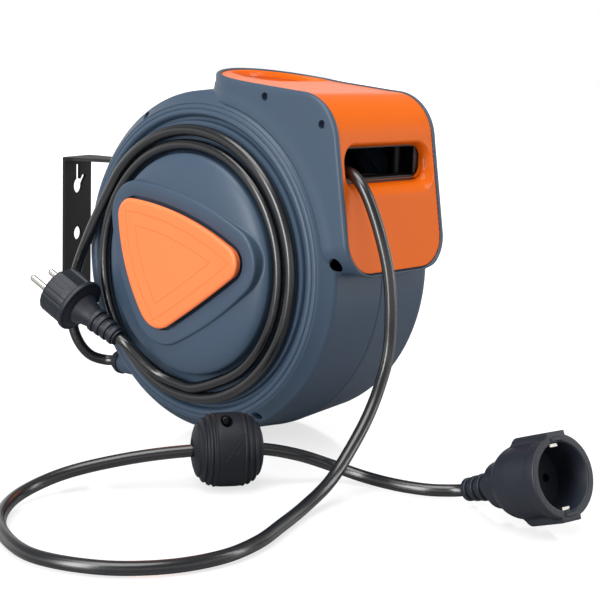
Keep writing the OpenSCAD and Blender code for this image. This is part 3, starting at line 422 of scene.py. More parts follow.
# Supply lead ------------------------------
# The same cable as the output cord. It leaves the gland behind the drum, is wound once and
# a half round the raised disc for storage, and ends in the plug, tucked up beside the drum.
LEAD_X = -58.9
lead_start = [
    [-32, 105, -89.5], [-37, 114, -90], [-46, 121, -86], [-53, 126, -76], [-57, 129, -62],
    [-58, 130, -43], [-60, 122, -20], [-61, 111, 1], [-60, 100, 22], [-59, 87, 43], [-59, 72, 63],
]
lead_end = [
    [-60, -10, -86.5], [-60, 10, -87], [-63, 26, -83], [-69, 37, -74], [-76, 46, -63],
    [-78, 54, -58.5],
]
# The turns round the disc: each angle, in degrees, with its distance from the spool axis.
wound = np.arange(58.0, 612.0, 18.0)
reach = np.interp(wound, [58, 90, 180, 265, 300, 345, 400, 450, 540, 600, 612],
                  [94.5, 93.4, 93.4, 95.2, 95.4, 92.5, 86.5, 83.0, 82.4, 84.5, 85.5])
lead_coil = np.stack([np.full_like(wound, LEAD_X), reach * np.cos(np.radians(wound)),
                      reach * np.sin(np.radians(wound))], -1)
lead_line = smooth_line(np.vstack([lead_start, lead_coil, lead_end]), 8)
supply_lead = piece("supply_lead_jacket", [quads(tube(lead_line, CABLE_R), caps=True)], jacket,
                    "housing", stands_for=["lead_start", "lead_coil", "lead_end"],
                    laid=straightened(lead_line, CABLE_R))

# Plug -------------------------------------
# A moulded-on rubber plug: four relief ribs, a flaring neck, a thumb flange, a grooved grip
# with a channel for the earth clip on each side, and two nickel-plated pins.
PLUG_AT, PLUG_WAY, PLUG_ROLL, PLUG_R = [-78, 54, -58.5], [-0.166, 0.861, 0.482], -8.0, 19.0
PLUG_BASE, CHANNEL_HALF, CHANNEL_FLOOR = 37.0, 5.5, 16.7
GROOVES, GROOVE_DEPTH, GROOVE_W = np.arange(32, 149, 16.5), 0.35, 0.85
neck_profile = [[4.1, 0.0], [6.2, 0.1]]
for k in range(4):
    foot, r = 2.0 + 6.0 * k, 7.4 + 0.6 * k
    neck_profile += [[r - 1.5, foot - 0.1], *rib(foot, r, 3.1)]
neck_profile += [[8.3, 25.6], [8.9, 28.0], [10.2, 32.0], [12.4, 36.8], [4.1, 36.9]]
plug_relief = piece("plug_neck", [quads(aimed(lathe(neck_profile, 64), PLUG_AT, PLUG_WAY))],
                    coupler_rubber, "housing", 30.0, ["plug_relief"])
grip_profile = np.vstack([
    [[4.2, 0.0], [12.6, 0.0], [14.6, 0.5], [16.8, 1.4]], bend((19.4, 3.0), 1.0, 250, 360, 6),
    bend((19.0, 4.6), 1.4, 0, 90, 6),
    [[19.0, 6.2], [18.9, 6.8], [19.0, 7.2], [19.0, 12.0], [19.0, 18.0], [19.0, 22.0]],
    bend((17.8, 24.7), 1.2, 0, 90, 6),
    [[16.8, 25.8], [16.5, 25.2], [16.5, 23.8], [16.4, 23.6], [0, 23.6]]])
grip = lathe(grip_profile + [0, PLUG_BASE], 360)
angle = np.arctan2(grip[..., 1], grip[..., 0])
r = np.hypot(grip[..., 0], grip[..., 1])
up_grip = (r > 17.0) & (grip[..., 2] > PLUG_BASE + 6.1)
# Each groove is a bell curve of its distance round the grip, and each channel a flat floor.
turn = np.degrees(angle) % 180
from_groove = np.min(np.abs(turn[..., None] - GROOVES), -1) * PLUG_R * np.pi / 180
cut = np.exp(-((from_groove / GROOVE_W) ** 2))
beside, across_it = np.abs(r * np.cos(angle)), np.abs(r * np.sin(angle))
channel = ease((CHANNEL_HALF + 0.5 - across_it) / 0.6) * np.clip(beside - CHANNEL_FLOOR, 0, None)
r_new = np.where(up_grip, r - GROOVE_DEPTH * cut - channel, r)
grip[..., 0], grip[..., 1] = r_new * np.cos(angle), r_new * np.sin(angle)
plug_grip = piece("plug_grip", [quads(aimed(grip, PLUG_AT, PLUG_WAY, PLUG_ROLL))], coupler_rubber,
                  "housing", 30.0, ["plug_body", "plug_face"])
dress(nickel_plate, "plug_pins")

# Drum housing -----------------------------
# Two deep shells of glass-filled polypropylene, screwed together at the rim. The front one
# has a raised disc for winding the lead, which crowns softly round a three-cornered plateau.
WALL_R, DISC_R, DISC_X, CROWN, PLATEAU, SEAT = 124.0, 77.6, 62.6, 10.5, 74.3, 73.1
CORNERS = np.array([[41.7, 30.9, 12.8], [-49.5, 8.1, 12.6], [13.4, -25.8, 19.7]])
BADGE_SIDES, PLATEAU_SIDES, MARGIN, POCKET_GAP = [228, 940, 134], [228, 260, 134], 12.4, 1.5
PLATEAU_EDGE, POCKET_FLOOR, FOOT_SCREW = (1.8, 2.0), SEAT - 3.4, (-121.7, 12.5)
# The screws' bores: radius and floor.
RIM_BORE, TOP_BORE, FOOT_BORE = (2.9, -44), (2.8, -46), (4.6, -38)
# Each shell's corner between wall and face: its centre's radius and height, and its own radius.
NEAR_CORNER, FAR_CORNER = (115.8, 42.4, 5.0), (108.5, 49.5, 12.0)


def side_centres(sides):
    """The centre of each side's arc: it lies at the side's radius less the corner's from each
    of the two corners' centres, on the inner side of the line between them."""
    centres = []
    for (ay, az, p), (by, bz, q), r in zip(CORNERS, np.roll(CORNERS, -1, axis=0), sides):
        a, b = np.array([ay, az]), np.array([by, bz])
        length, u = np.linalg.norm(b - a), unit(b - a)
        along = ((r - p) ** 2 - (r - q) ** 2 + length**2) / (2 * length)
        across = np.sqrt((r - p) ** 2 - along**2)
        centres.append(a + along * u - across * np.array([u[1], -u[0]]))
    return centres


def three_cornered(turn, sides, grow):
    """Distance from the spool axis to the three-cornered outline along each angle: its corners
    and bowed sides are arcs that meet in line, all grown by the same amount."""
    centres, runs = side_centres(sides), []
    for k, corner in enumerate(CORNERS[:, :2]):
        before, after, following = centres[k - 1], centres[k], CORNERS[(k + 1) % 3, :2]
        for centre, start, end, r in ((corner, corner - before, corner - after, CORNERS[k, 2]),
                                      (after, corner - after, following - after, sides[k])):
            a0, a1 = np.arctan2(start[1], start[0]), np.arctan2(end[1], end[0])
            a1 = a0 + (a1 - a0) % (2 * np.pi)
            runs.append(bend(centre, r + grow, np.degrees(a0), np.degrees(a1), 60))
    p = np.vstack(runs)
    where = np.degrees(np.arctan2(p[:, 1], p[:, 0])) % 360
    order = np.argsort(where)
    return np.interp(turn, where[order], np.hypot(p[:, 0], p[:, 1])[order], period=360)


def crown(r):
    """The disc's crown: its height over DISC_X is CROWN times the root of 1 - (r / DISC_R)^4."""
    return DISC_X + CROWN * np.sqrt(np.clip(1 - (r / DISC_R) ** 4, 0, 1))


def shell_rows(turn, plateau):
    """The shell's outside as rings from the parting line to the centre: each row gives the
    radius and the height along the axis at every angle."""
    corner_r, corner_x, corner = NEAR_CORNER if plateau else FAR_CORNER
    turned = bend((corner_r, corner_x), corner, 0, 47 if plateau else 74, 14)
    flank = [[WALL_R + (turned[0, 0] - WALL_R) * t, corner_x * t] for t in (0.1, 0.35, 0.65, 0.9)]
    rim = np.vstack([
        [[120.5, 0.0], [WALL_R - 0.8, 0.0], [WALL_R - 0.1, 0.4], [WALL_R, 1.2]], flank, turned,
        [[113.2, 52.0], [112.7, 53.1], [112.0, 53.5], [111.6, 53.2], [111.3, 53.25], [110.9, 54.0],
         [110.5, 54.25], [109.0, 54.6], [108.5, 54.5], [108.25, 54.15], [107.95, 54.2],
         [107.7, 54.9], [107.3, 55.3], [105.6, 55.75], [104.9, 55.6], [104.2, 54.9],
         [103.6, 54.3], [103.2, 53.0], [103.0, 51.6], [102.5, 51.1], [100.7, 51.1],
         [100.2, 51.6], [100.0, 53.8], [99.6, 54.5], [98.8, 54.6],
         [90.0, 54.6], [82.0, 54.6], [79.6, 54.65], [78.6, 55.1], [78.0, 56.2], [77.7, 58.0],
         [77.6, 60.0], [77.58, 62.0]]])
    rows = [(np.full_like(turn, r), np.full_like(turn, x)) for r, x in rim]
    edge = three_cornered(turn, PLATEAU_SIDES, MARGIN)
    edge_w, edge_drop = PLATEAU_EDGE
    brink = PLATEAU - edge_drop
    fillet = np.clip(np.minimum((brink - crown(edge)) / 2, DISC_R - 0.3 - edge), 0.05, 1.6)
    out = edge + fillet
    foot = crown(out)
    far = np.sqrt(1 - (out / DISC_R) ** 2)
    for t in np.linspace(0, 1, 30)[1:]:
        r = DISC_R * np.sqrt(1 - (t * far) ** 2)
        rows.append((r, crown(r)))
    if not plateau:
        for share in np.linspace(1, 0, 30)[1:]:
            rows.append((out * share, crown(out * share)))
        return rows
    for a in np.linspace(0, np.pi / 2, 7)[1:]:
        rows.append((edge + fillet * (1 - np.sin(a)), foot + fillet * (1 - np.cos(a))))
    low = foot + fillet
    for share in (0.35, 0.7, 1.0):
        rows.append((edge - 0.12 * share, low + share * (brink - low)))
    for a in np.linspace(0, np.pi / 2, 9)[1:]:
        rows.append((edge - 0.12 - edge_w * (1 - np.cos(a)),
                     np.full_like(turn, brink + edge_drop * np.sin(a))))
    pocket = three_cornered(turn, BADGE_SIDES, POCKET_GAP)
    for r, x in ((pocket + 0.5, PLATEAU), (pocket + 0.15, PLATEAU - 0.12), (pocket, PLATEAU - 0.45),
                 (pocket - 0.05, POCKET_FLOOR), (pocket * 0.9, POCKET_FLOOR),
                 (pocket * 0, POCKET_FLOOR)):
        rows.append((r, np.full_like(turn, x)))
    return rows


def on_side(turn, rows, side):
    """Rings to points: Y and Z from radius and angle, X out of the near (-1) or far (+1) side."""
    a = np.radians(turn)
    return np.stack([np.stack([side * x, r * np.cos(a), r * np.sin(a)], -1) for r, x in rows])


def bore(centre, r, floor):
    """A closed round cutter along X at a centre in Y and Z, from outside the badge's face to
    its floor."""
    return quads(lathe([[r, -60], [r, floor]], 36)[..., [2, 0, 1]] + [0, *centre], caps=True)


# Polypropylene with glass fibre, moulded in a spark-eroded tool: slate blue, satin, with a
# fine grain that is drawn a little coarser than the real 0.3 mm so that it shows.
body_plastic = finish_of("housing_polypropylene", "#36475A", "#3D4F62", (0.38, 0.50), 0.6, 0.03,
                         70.0, IOR=1.49)
turns = np.arange(0, 360, 1.0)
RIM_SCREWS = 115.6 * np.array([(np.cos(a), np.sin(a)) for a in np.radians([0, 60, 240, 300])])
front_drum = piece("front_drum", [quads(on_side(turns, shell_rows(turns, True), -1))], body_plastic,
                   "housing", 50.0, ["front_shell"])
rear_drum = piece("rear_drum", [quads(on_side(turns, shell_rows(turns, False), 1))], body_plastic,
                  "housing", 50.0, ["rear_shell"])
drill(front_drum, [bore(at, *RIM_BORE) for at in RIM_SCREWS] + [bore(FOOT_SCREW, *FOOT_BORE)])

# Badge ------------------------------------
# A snap-in three-cornered cover of orange ABS over the axle's end, flat on top, with a wide rounded
# edge and two fine outlines inside its border, drawn only as painted groove shade.
BADGE_TOP, EDGE_W, EDGE_DROP, LINE_IN, LINE_HALF = 79.7, 2.8, 1.7, (9.0, 18.4), 0.35

# ABS with a satin skin: a warm orange that drifts a little deeper. The engraved outlines are not
# modelled: thin darker lines of painted shade stand for the shade in their grooves.
badge_face = finish_of("badge_abs", "#FA7A40", "#FC8249", (0.40, 0.50), 0.7, 0.02, 60.0, IOR=1.53)
tree = badge_face.node_tree
shader = tree.nodes["Principled BSDF"]
where = add(tree, "ShaderNodeTexCoord").outputs["Object"]
inside = None
for centre, r in zip(side_centres(BADGE_SIDES), BADGE_SIDES):
    y, z = place([0, centre[0], centre[1]])[1:]
    on_face = add(tree, "ShaderNodeVectorMath", {0: where, 1: (0.0, 1.0, 1.0)},
                  operation="MULTIPLY")
    far = add(tree, "ShaderNodeVectorMath", {0: on_face.outputs[0], 1: (0.0, y, z)},
              operation="DISTANCE")
    left = add(tree, "ShaderNodeMath", {0: r / 1000.0, 1: far.outputs["Value"]},
               operation="SUBTRACT").outputs[0]
    inside = left if inside is None else add(
        tree, "ShaderNodeMath", {0: inside, 1: left}, operation="MINIMUM").outputs[0]
# Painted shade: a darker orange along two thin lines stands for the shade in engraved grooves.
groove_shade = None
for depth in LINE_IN:
    line = add(tree, "ShaderNodeMath", {0: inside, 1: depth / 1000.0, 2: LINE_HALF / 1000.0},
               operation="COMPARE").outputs[0]
    groove_shade = line if groove_shade is None else add(
        tree, "ShaderNodeMath", {0: groove_shade, 1: line}, operation="MAXIMUM").outputs[0]
plain = shader.inputs["Base Color"].links[0].from_socket
groove_shaded = add(tree, "ShaderNodeMix", {0: groove_shade, 6: plain, 7: linear("#E06E30")}, data_type="RGBA")
tree.links.new(groove_shaded.outputs[2], shader.inputs["Base Color"])
badge_rows = [(three_cornered(turns, BADGE_SIDES, -EDGE_W) * share, np.full_like(turns, BADGE_TOP))
              for share in (0, 0.4, 0.8, 0.97, 1)]
for a in np.linspace(0, np.pi / 2, 12)[1:]:
    badge_rows.append((three_cornered(turns, BADGE_SIDES, -EDGE_W * (1 - np.sin(a))),
                       np.full_like(turns, BADGE_TOP - EDGE_DROP * (1 - np.cos(a)))))
badge_rows += [(three_cornered(turns, BADGE_SIDES, grow), np.full_like(turns, x))
               for grow, x in ((0, 77.4), (-0.3, 76.9), (-1.3, 76.5), (-1.4, SEAT), (-8, SEAT))]
badge_rows.append((turns * 0, np.full_like(turns, SEAT)))
piece("badge_cover", [quads(on_side(turns, badge_rows, -1))], badge_face, "housing",
      50.0, ["badge"])

# Outlet head ------------------------------
# The box-shaped head on the drum, moulded in one with the shells: two side plates and a rim
# that frames the orange insert over the top, round the bend and down the front.
HEAD_HALF, HEAD_TOP, HEAD_FRONT, SLOT_Z = 51.0, 131.6, 128.0, 77.5
TOP_SLOPE, LEAN, HEAD_BEND, FOOT, FOOT_BEND, FOOT_CORNER = 0.088, 0.114, 34.0, 3.0, 4.0, 25.0
REAR_Y, REAR_BEND, FLARE, EASE_W, FAR_WIDER = 13.5, 42.0, 6.5, 3.5, 1.118
TOP_END_Y, REAR_RISE, BEND_BACK = -84.0, 0.0011, 5.5
HEAD_SCREWS = [(-58.6, 119.0), (-109.2, 103.4), FOOT_SCREW]


def front_y(z):
    """The front face leans: its Y moves out by LEAN for each millimetre below the slot."""
    return -HEAD_FRONT - LEAN * (SLOT_Z - z)


def head_path():
    """The head's outline in Y and Z, from the rear of the top round to the foot, evenly spaced,
    with its distance along and its outward normal."""
    y = np.linspace(REAR_Y, TOP_END_Y, 60)
    rise = REAR_RISE * np.clip(y + 45, 0, None) ** 2
    top = np.stack([y, HEAD_TOP + TOP_SLOPE * y + rise], -1)
    y = -HEAD_FRONT + HEAD_BEND + BEND_BACK
    slope, lean = np.degrees(np.arctan([TOP_SLOPE, LEAN]))
    over = bend((y, HEAD_TOP + TOP_SLOPE * y - HEAD_BEND), HEAD_BEND, 90 + slope, 180 - lean, 40)
    foot_z = FOOT + FOOT_BEND
    foot = bend((front_y(foot_z) + FOOT_BEND, foot_z), FOOT_BEND, 180 - lean, 268, 30)
    p = np.vstack([top, over, foot])
    s = run_of(p)
    even = np.linspace(0, s[-1], 700)
    p = np.stack([np.interp(even, s, p[:, k]) for k in (0, 1)], -1)
    way = unit(np.gradient(p, axis=0))
    return even, p, np.stack([way[:, 1], -way[:, 0]], -1)


path_s, path_p, path_n = head_path()
s_end = path_s[-1]
low = path_s > 0.6 * s_end  # the outline's run down the front


def on_path(s, values=path_p):
    """The outline's points, or its normals, at the distances s along it."""
    return np.stack([np.interp(s, path_s, values[:, k]) for k in (0, 1)], -1)


def wider(x):
    """The head's far half is wider than its near one: FAR_WIDER there, and 1 on the near."""
    return np.where(x > 0, FAR_WIDER, 1.0)


def on_head(s, x, depth):
    """A point at distance s along the outline and x across it, depth below the surface."""
    at = on_path(s) - depth[..., None] * on_path(s, path_n)
    return np.concatenate([(x * wider(x))[..., None], at], -1)


def half_width(s, inset):
    """Half the head's width along its path, set in: a half ellipse at the rear, straight
    sides, and a quarter round at each foot corner."""
    y, z = on_path(s).T
    h, b, c = HEAD_HALF - inset, REAR_BEND - inset, FOOT_CORNER - inset
    rear = h * np.sqrt(np.clip(1 - (np.clip(y - (REAR_Y - REAR_BEND), 0, None) / b) ** 2, 0, 1))
    low = np.clip(FOOT + FOOT_CORNER - z, 0, c)
    foot = h - c + np.sqrt(np.clip(c * c - low * low, 0, None))
    return np.where(z < FOOT + FOOT_CORNER, np.minimum(rear, foot), rear)


def head_border(count=620):
    """The head's border in the flattened sheet (distance along, across), as an even closed
    loop, with its outward normal at each point."""
    a = np.radians(np.linspace(0, 90, 60))
    y = REAR_Y - REAR_BEND + REAR_BEND * np.cos(a)
    rear = np.stack([np.interp(-y, -path_p[:, 0], path_s), HEAD_HALF * np.sin(a)], -1)
    b = np.radians(np.linspace(0, 89, 50))
    z = FOOT + FOOT_CORNER - FOOT_CORNER * np.sin(b)
    foot = np.stack([np.interp(-z, -path_p[low, 1], path_s[low]),
                     HEAD_HALF - FOOT_CORNER + FOOT_CORNER * np.cos(b)], -1)
    side = np.vstack([rear, foot, [[s_end, 0.0]]])
    loop = np.vstack([side, side[::-1][1:-1] * [1, -1]])
    ring = np.vstack([loop, loop[:1]])
    s = run_of(ring)
    even = np.linspace(0, s[-1], count, endpoint=False)
    p = np.stack([np.interp(even, s, ring[:, k]) for k in (0, 1)], -1)
    way = unit(np.roll(p, -2, axis=0) - np.roll(p, 2, axis=0))
    return p, np.stack([-way[:, 1], way[:, 0]], -1)


def open_up(target, inside):
    """Takes out the faces whose middle, in drum millimetres, the test calls inside."""
    shape = bmesh.new()
    shape.from_mesh(target.data)
    middles = np.array([face.calc_center_median() for face in shape.faces]) * 1000 - DRUM_TO_ROW
    gone = [face for face, out in zip(shape.faces, inside(middles)) if out]
    bmesh.ops.delete(shape, geom=gone, context="FACES")
    shape.to_mesh(target.data)
    shape.free()


def corner_of(x):
    """The drum corner on the side that x lies on: its centre's radius and height, and its own."""
    return np.where(x < 0, *np.array([NEAR_CORNER, FAR_CORNER])[..., None])


def meets_drum(x):
    """Radius at which the drum's outside is x away from the parting line: the drafted wall up
    to the corner's centre, and the corner's arc past it."""
    at, (r, side, corner) = np.abs(x), corner_of(x)
    wall = WALL_R + (r + corner - WALL_R) * at / side
    return np.where(at < side, wall, r + np.sqrt(np.clip(corner**2 - (at - side) ** 2, 0.01, None)))


def shoulder_x(r, x):
    """The corner's height along the axis at a radius, on the side that x lies on."""
    middle, side, corner = corner_of(x)
    return side + np.sqrt(np.clip(corner**2 - np.clip(r - middle, 0, None) ** 2, 0, None))


def towards_axis(points, r):
    """Points moved straight towards the spool axis, to the radii r."""
    share = r / np.linalg.norm(points[:, 1:], axis=1)
    return points * np.stack([np.ones_like(r), share, share], -1)


border, border_out = head_border()
rows = []
for inset, depth in [(9.0, 4.6), (3.45, 4.6), (3.4, 1.0), (3.3, 0.4), (3.05, 0.1), (2.8, 0.0),
                     (2.6, 0.0), *(2.4 * (1 - bend((0, 0), 1.0, 90, 0, 8)))]:
    p = border - inset * border_out
    rows.append(on_head(p[:, 0], p[:, 1], np.full(len(p), depth)))
# From the rim the walls run straight down towards the spool axis. Near the drum an end wall
# flares out in a quarter round, and a side wall eases into the shoulder, which meets it flat.
foot_of = rows[-1]
r_foot = np.linalg.norm(foot_of[:, 1:], axis=1)
r_meet = np.minimum(meets_drum(foot_of[:, 0]), r_foot - 1.0)
tangent = unit(on_path(border[:, 0] + 0.5) - on_path(border[:, 0] - 0.5))
outward = np.concatenate([border_out[:, 1:], border_out[:, :1] * tangent], 1)
side_share = np.abs(outward[:, 0])
for rise in (0.85, 0.6, 0.4, 0.2):
    rows.append(towards_axis(foot_of, r_meet + 5.0 + (r_foot - r_meet - 5.0) * rise))
for t in (5.0, 4.0, 3.1, 2.3, 1.6, 1.0, 0.5, 0.1, -0.4, -0.9, -1.5, -2.1, -3.4):
    r = np.minimum(r_meet + t, r_foot - 0.02 * (6 - t))
    p = towards_axis(foot_of, r)
    flare = FLARE - np.sqrt(FLARE**2 - np.clip(FLARE - max(t, 0), 0, FLARE) ** 2)
    p += outward * ((1 - side_share) ** 1.5 * flare)[:, None]
    x, hill = np.abs(p[:, 0]), shoulder_x(r, p[:, 0])
    eased = (x + hill + np.sqrt((x - hill) ** 2 + EASE_W**2)) / 2
    fade = np.clip((t + 2.1) / 1.2, 0, 1) if t > -3 else 0
    lift = np.maximum(x, hill) * (1 - fade) + eased * fade - (0 if t > -3 else 1.6)
    p[:, 0] = np.sign(p[:, 0]) * (x + side_share**4 * (lift - x))
    rows.append(p)
head = piece("outlet_head", [quads(np.stack(rows))], body_plastic, "housing", 50.0)
drill(head, [bore(at, *TOP_BORE) for at in HEAD_SCREWS[:2]] + [bore(FOOT_SCREW, *FOOT_BORE)])
POCKET_HALF, POCKET_REAR, POCKET_BEND, POCKET_FOOT, POCKET_R = 46.5, 8.5, 38.5, 8.0, 104.0


def pocket_in_drum(p):
    """True inside the space under the head that the shells leave open for its insert: half an
    ellipse at the rear, then straight sides, and nothing within POCKET_R of the axis."""
    x = np.abs(p[:, 0]) / wider(p[:, 0])
    back = np.clip(p[:, 1] - (POCKET_REAR - POCKET_BEND), 0, None)
    within = (x / POCKET_HALF) ** 2 + (back / POCKET_BEND) ** 2 < 1
    return within & (p[:, 2] > POCKET_FOOT) & (np.hypot(p[:, 1], p[:, 2]) > POCKET_R)


open_up(front_drum, pocket_in_drum)
open_up(rear_drum, pocket_in_drum)

# Housing screws ---------------------------
# Seven self-tapping screws of blackened steel join the shells from the badge's side: four in
# the rim and three in the head, all sunk below the surface.
# Each screw is its place in Y and Z, the height of its top along the axis, and its radius.
heads = [(at, 45.4, 2.6) for at in RIM_SCREWS]
heads += zip(HEAD_SCREWS, (41.0, 41.0, 38.0), (2.4, 2.4, 3.4))
piece("housing_screw_heads",
      [quads(lathe(screw_head(r, 1.2), 32)[..., [2, 0, 1]] * [-1, 1, 1] + [-top, *at])
       for at, top, r in heads],
      black_steel, "housing", stands_for=["housing_screws"])

# Outlet insert ----------------------------
# One bright orange moulding let into the head: a cupped hand grip in the top, then over the
# bend and down the front, where a dished mouth leads the cable to its slot.
INSERT_SET, INSERT_DROP, INSERT_EDGE = 3.65, 0.8, 1.1
# The slot, the mouth round it and the grip's cup are rounded rectangles: half their size each
# way and the radius of their corners.
THROAT, MOUTH, CUP = (41.0, 11.5, 9.0), (45.4, 18.0, 14.0), (36.0, 23.0, 22.0)
MOUTH_X, MOUTH_Z, MOUTH_DEPTH, CUP_X, CUP_Y, CUP_RIM, CUP_LIP = 0.6, 73.6, 9.2, 15.0, -8.0, 4.0, 2.0
insert_plastic = finish_of("insert_abs", "#E7690F", "#E1640E", (0.36, 0.44), 0.8, 0.03, 50.0,
                           Specular_IOR_Level=0.05, Coat_Weight=0.3, Coat_Roughness=0.15)


def round_box(u, v, half_u, half_v, corner):
    """Signed distance to a rounded rectangle about the origin: negative inside."""
    qu, qv = np.abs(u) - half_u + corner, np.abs(v) - half_v + corner
    out = np.hypot(np.clip(qu, 0, None), np.clip(qv, 0, None))
    return out + np.minimum(np.maximum(qu, qv), 0) - corner


def throat(x, z):
    """Signed distance to the slot's throat."""
    return round_box(x, z - SLOT_Z, *THROAT)


# The sheet's rows start at the rear's half ellipse, and its points near the slot are drawn
# on to the slot's edge, so that the opening is cut clean.
a = np.radians(np.concatenate([[0.6], np.linspace(3, 90, 46)]))
y = REAR_Y - REAR_BEND + (REAR_BEND - INSERT_SET) * np.cos(a)
s_start = np.interp(-y, -path_p[:, 0], path_s)
s_foot = np.interp(-(FOOT + INSERT_SET + 0.02), -path_p[low, 1], path_s[low])
s_rows = np.concatenate([s_start, np.linspace(s_start[-1], s_foot, 250)[1:]])
across = np.linspace(-1, 1, 151)
across = np.sign(across) * (1 - (1 - np.abs(across)) ** 1.25)
s_grid = np.repeat(s_rows[:, None], len(across), axis=1)
x_grid = half_width(s_rows, INSERT_SET)[:, None] * across
e = 0.05
for _ in range(2):
    flat_z = on_path(s_grid)[..., 1]
    gap = throat(x_grid, flat_z)
    gx = (throat(x_grid + e, flat_z) - gap) / e
    gz = (throat(x_grid, flat_z + e) - gap) / e
    near = (np.abs(gap) < 0.42) & (s_grid > 100) & (s_grid < 0.8 * s_end)
    x_grid = x_grid - np.where(near, gap * gx, 0)
    s_grid = s_grid + np.where(near, gap * gz, 0)
flat_y, flat_z = np.moveaxis(on_path(s_grid), -1, 0)
edge = border - INSERT_SET * border_out
flat = np.stack([s_grid, x_grid], -1).reshape(-1, 2)
from_edge = np.min([np.linalg.norm(flat - p, axis=1) for p in edge], axis=0).reshape(s_grid.shape)
# Its edge is a quarter round, the mouth deepens towards the slot, and the cup has a rounded
# lip, a steep wall and a soft floor.
near_edge = 1 - np.clip(from_edge / INSERT_EDGE, 0, 1)
depth = INSERT_DROP + INSERT_EDGE * (1 - np.sqrt(1 - near_edge**2))
front = (s_grid > 100) & (s_grid < 0.9 * s_end)
slot = throat(x_grid, flat_z)
mouth = -round_box(x_grid - MOUTH_X, flat_z - MOUTH_Z, *MOUTH)
funnel = np.clip(mouth / (mouth + np.clip(slot, 0, None) + 1e-6), 0, 1)
dish = MOUTH_DEPTH * (0.35 * ease(funnel) + 0.65 * funnel**5)
depth += np.where(front & (mouth > 0), dish, 0)
cup = np.maximum(round_box(x_grid - CUP_X, flat_y - CUP_Y, *CUP), CUP_RIM - from_edge)
lip = CUP_LIP - np.sqrt(np.clip(CUP_LIP**2 - np.clip(CUP_LIP - cup, 0, CUP_LIP) ** 2, 0, None))
wall = CUP_LIP + 15.0 * ease(-cup / 5.0) + 4.0 * ease(-(cup + 3) / 8.0)
depth += np.where(s_grid < 90, np.where(cup > 0, np.where(cup < CUP_LIP, lip, 0), wall), 0)
verts, faces = quads(on_head(s_grid, x_grid, depth), wrap=False)
hole = (slot < -0.05).reshape(-1) & front.reshape(-1)
faces = [f for f in faces if not any(hole[v] for v in f)]
# A short sleeve goes in from the slot's edge.
half_x, half_z, corner = THROAT
a = np.linspace(0, 2 * np.pi, 160, endpoint=False)
cx, cz = np.cos(a), np.sin(a)
sx = (np.sign(cx) * (half_x - corner) + corner * cx) * wider(cx)
sz = SLOT_Z + np.sign(cz) * (half_z - corner) + corner * cz
ring_y = front_y(sz) + MOUTH_DEPTH + INSERT_DROP
sleeve = np.stack([np.stack([sx, ring_y + d, sz], -1) for d in (-0.05, 0.6, 2.5)])
piece("outlet_cover", [(verts, faces), quads(sleeve)], insert_plastic, "housing", 60.0,
      ["outlet_insert"])

# Lead inlet -------------------------------
# A short arm of the rear shell's own polypropylene carries the supply lead's entry, and a
# black rubber gland grips the cable where it goes in.
dress(body_plastic, "lead_inlet")
dress(coupler_rubber, "lead_gland")

# Guide rollers ----------------------------
# Four rollers on steel pins in a nylon frame line the slot, so that the cable runs out over them at
# any angle. They are black nylon, but the left one is painted pale as a highlight.
black_nylon = finish_of("black_nylon", "#08090A", "#0D0E10", (0.34, 0.46), 0.7, 0.03, 16.0,
                        Specular_IOR_Level=0.3)
# Pale acetal for the swivel washers, also used as a painted highlight on the left guide roller.
pale_acetal_and_highlight = finish_of("grey_acetal_and_highlight", "#9EA3A9", "#AEB2B6", (0.26, 0.36), 0.6, 0.01, 16.0,
                        IOR=1.48)
bright_zinc = finish_of("bright_zinc", "#B4B8BD", "#C4C7CA", (0.24, 0.40), 0.5, 0.012, 9.0,
                        metal=1.0)
dress(black_nylon, "roller_frame", "roller_top", "roller_bottom", "roller_right")
# The left roller is like the others; its pale colour is a painted highlight.
dress(pale_acetal_and_highlight, "roller_left")
dress(bright_zinc, "roller_pins")

# Wall bracket and swivel ------------------
# A folded plate of powder-coated steel is screwed to the wall through its keyholes. The
# housing's boss hangs in it on a zinc-plated pin with a lock nut and two acetal washers.
powder_coat = finish_of("black_powder_coat", "#07080A", "#0C0D0F", (0.44, 0.56), 0.9, 0.05, 24.0,
                        Specular_IOR_Level=0.3)
dress(powder_coat, "wall_bracket")
dress(bright_zinc, "swivel_pin", "swivel_nut")
dress(pale_acetal_and_highlight, "swivel_washers")
dress(body_plastic, "swivel_boss")

# Spool ------------------------------------
# The cable is wound on a nylon hub between two flanges, and turns on a fixed steel axle
# between two spacer sleeves.
dress(black_nylon, "spool_hub", "near_flange", "far_flange")
dress(coupler_rubber, "cable_winding")
dress(bright_zinc, "axle", "axle_spacers")

# Return spring and latch ------------------
# A blued clock spring in a nylon cover winds the cable in. A steel pawl on its own pin drops
# between the ratchet's teeth and holds the cable at the length pulled out.
blued_steel = finish_of("blued_spring_steel", "#56606C", "#6A675F", (0.26, 0.40), 0.5, 0.01, 12.0,
                        metal=1.0)
dress(blued_steel, "mainspring")
dress(black_nylon, "spring_cover")
dress(bright_zinc, "ratchet", "pawl", "pawl_pin")

# Slip rings -------------------------------
# Three turned brass rings on a cream nylon core carry the current into the turning spool,
# from sprung carbon brushes in a black nylon carrier.
cream_nylon = finish_of("cream_nylon", "#D6CDB8", "#CCC2AB", (0.40, 0.50), 0.6, 0.02, 16.0,
                        IOR=1.53)
turned_brass = finish_of("turned_brass", "#C79D52", "#B58A43", (0.20, 0.34), 0.4, 0.012, 7.0,
                         metal=1.0)
pressed_carbon = finish_of("pressed_carbon", "#242120", "#312D2A", (0.50, 0.65), 0.5, 0.05, 5.0)
dress(cream_nylon, "slip_ring_core")
dress(turned_brass, "slip_rings")
dress(pressed_carbon, "brushes")
dress(black_nylon, "brush_carrier")

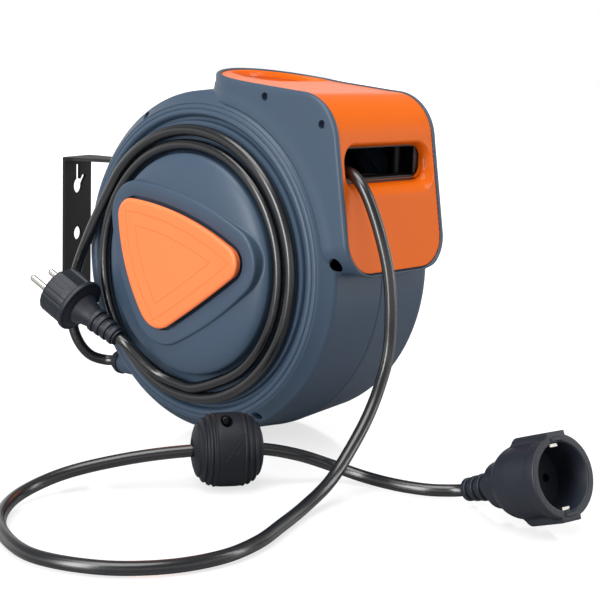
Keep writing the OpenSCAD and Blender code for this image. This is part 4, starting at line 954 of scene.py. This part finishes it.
# Floor and light --------------------------
# A glossy white table under a lit white wall and a darker ceiling, one wide soft lamp from
# above, a tall soft box on the left for the long highlights and a weak one on the right.
FLOOR_Z, FLOOR_HALF = -0.1259, 9.0
bpy.context.scene.view_settings.view_transform = "Standard"
table_top = finish_of("white_table", "#9A9A9B", "#A0A0A1", (0.10, 0.16), 40.0, 0.0, 900.0, IOR=1.45)
tree = table_top.node_tree
from_eye = add(tree, "ShaderNodeLightPath").outputs["Is Camera Ray"]
glow = add(tree, "ShaderNodeMath", {0: from_eye, 1: 0.70}, operation="MULTIPLY")
shader = tree.nodes["Principled BSDF"]
tree.links.new(glow.outputs[0], shader.inputs["Emission Strength"])
shader.inputs["Emission Color"].default_value = linear("#FFFFFF")
u = np.linspace(-FLOOR_HALF, FLOOR_HALF, 3)
verts, faces = quads(np.stack(np.meshgrid(u, u, [FLOOR_Z], indexing="ij"), -1)[:, :, 0], wrap=False)
floor_mesh = bpy.data.meshes.new("floor")
floor_mesh.from_pydata(verts.tolist(), [], faces)
floor_mesh.materials.append(table_top)
floor = in_scene("floor", floor_mesh)
world = bpy.data.worlds.new("studio")
world.use_nodes = True
tree = world.node_tree
up = add(tree, "ShaderNodeSeparateXYZ", {0: add(tree, "ShaderNodeTexCoord").outputs["Generated"]})
wall = add(tree, "ShaderNodeMapRange", {0: up.outputs[2], 1: 0.22, 2: 0.42, 3: 1.0, 4: 0.34})
tree.nodes["Background"].inputs[0].default_value = linear("#FFFFFF")
tree.links.new(wall.outputs[0], tree.nodes["Background"].inputs[1])
bpy.context.scene.world = world


def lamp(name, kind, at, target, power, **settings):
    """Adds a lamp at a point in metres, with its -Z turned towards another point."""
    data = bpy.data.lights.new(name, kind)
    for field, value in {"energy": power, **settings}.items():
        setattr(data, field, value)
    away = unit(np.array(at, float) - np.array(target, float))
    side = unit(np.cross([0.0, 0.0, 1.0], away))
    pose = np.eye(4)
    pose[:3, 0], pose[:3, 1], pose[:3, 2], pose[:3, 3] = side, np.cross(away, side), away, at
    in_scene(name, data).matrix_world = Matrix(pose.tolist())


middle = (0, -0.2, 0)
lamp("overhead", "SUN", (-0.5, -0.35, 2.0), middle, 2.15, angle=np.radians(45))
lamp("left_box", "AREA", (-1.45, -0.35, 0.45), middle, 19.0, shape="RECTANGLE", size=0.45,
     size_y=1.3)
lamp("right_box", "AREA", (0.9, -1.3, 0.5), (0, -0.25, 0), 6.0, shape="RECTANGLE", size=0.25,
     size_y=1.2)
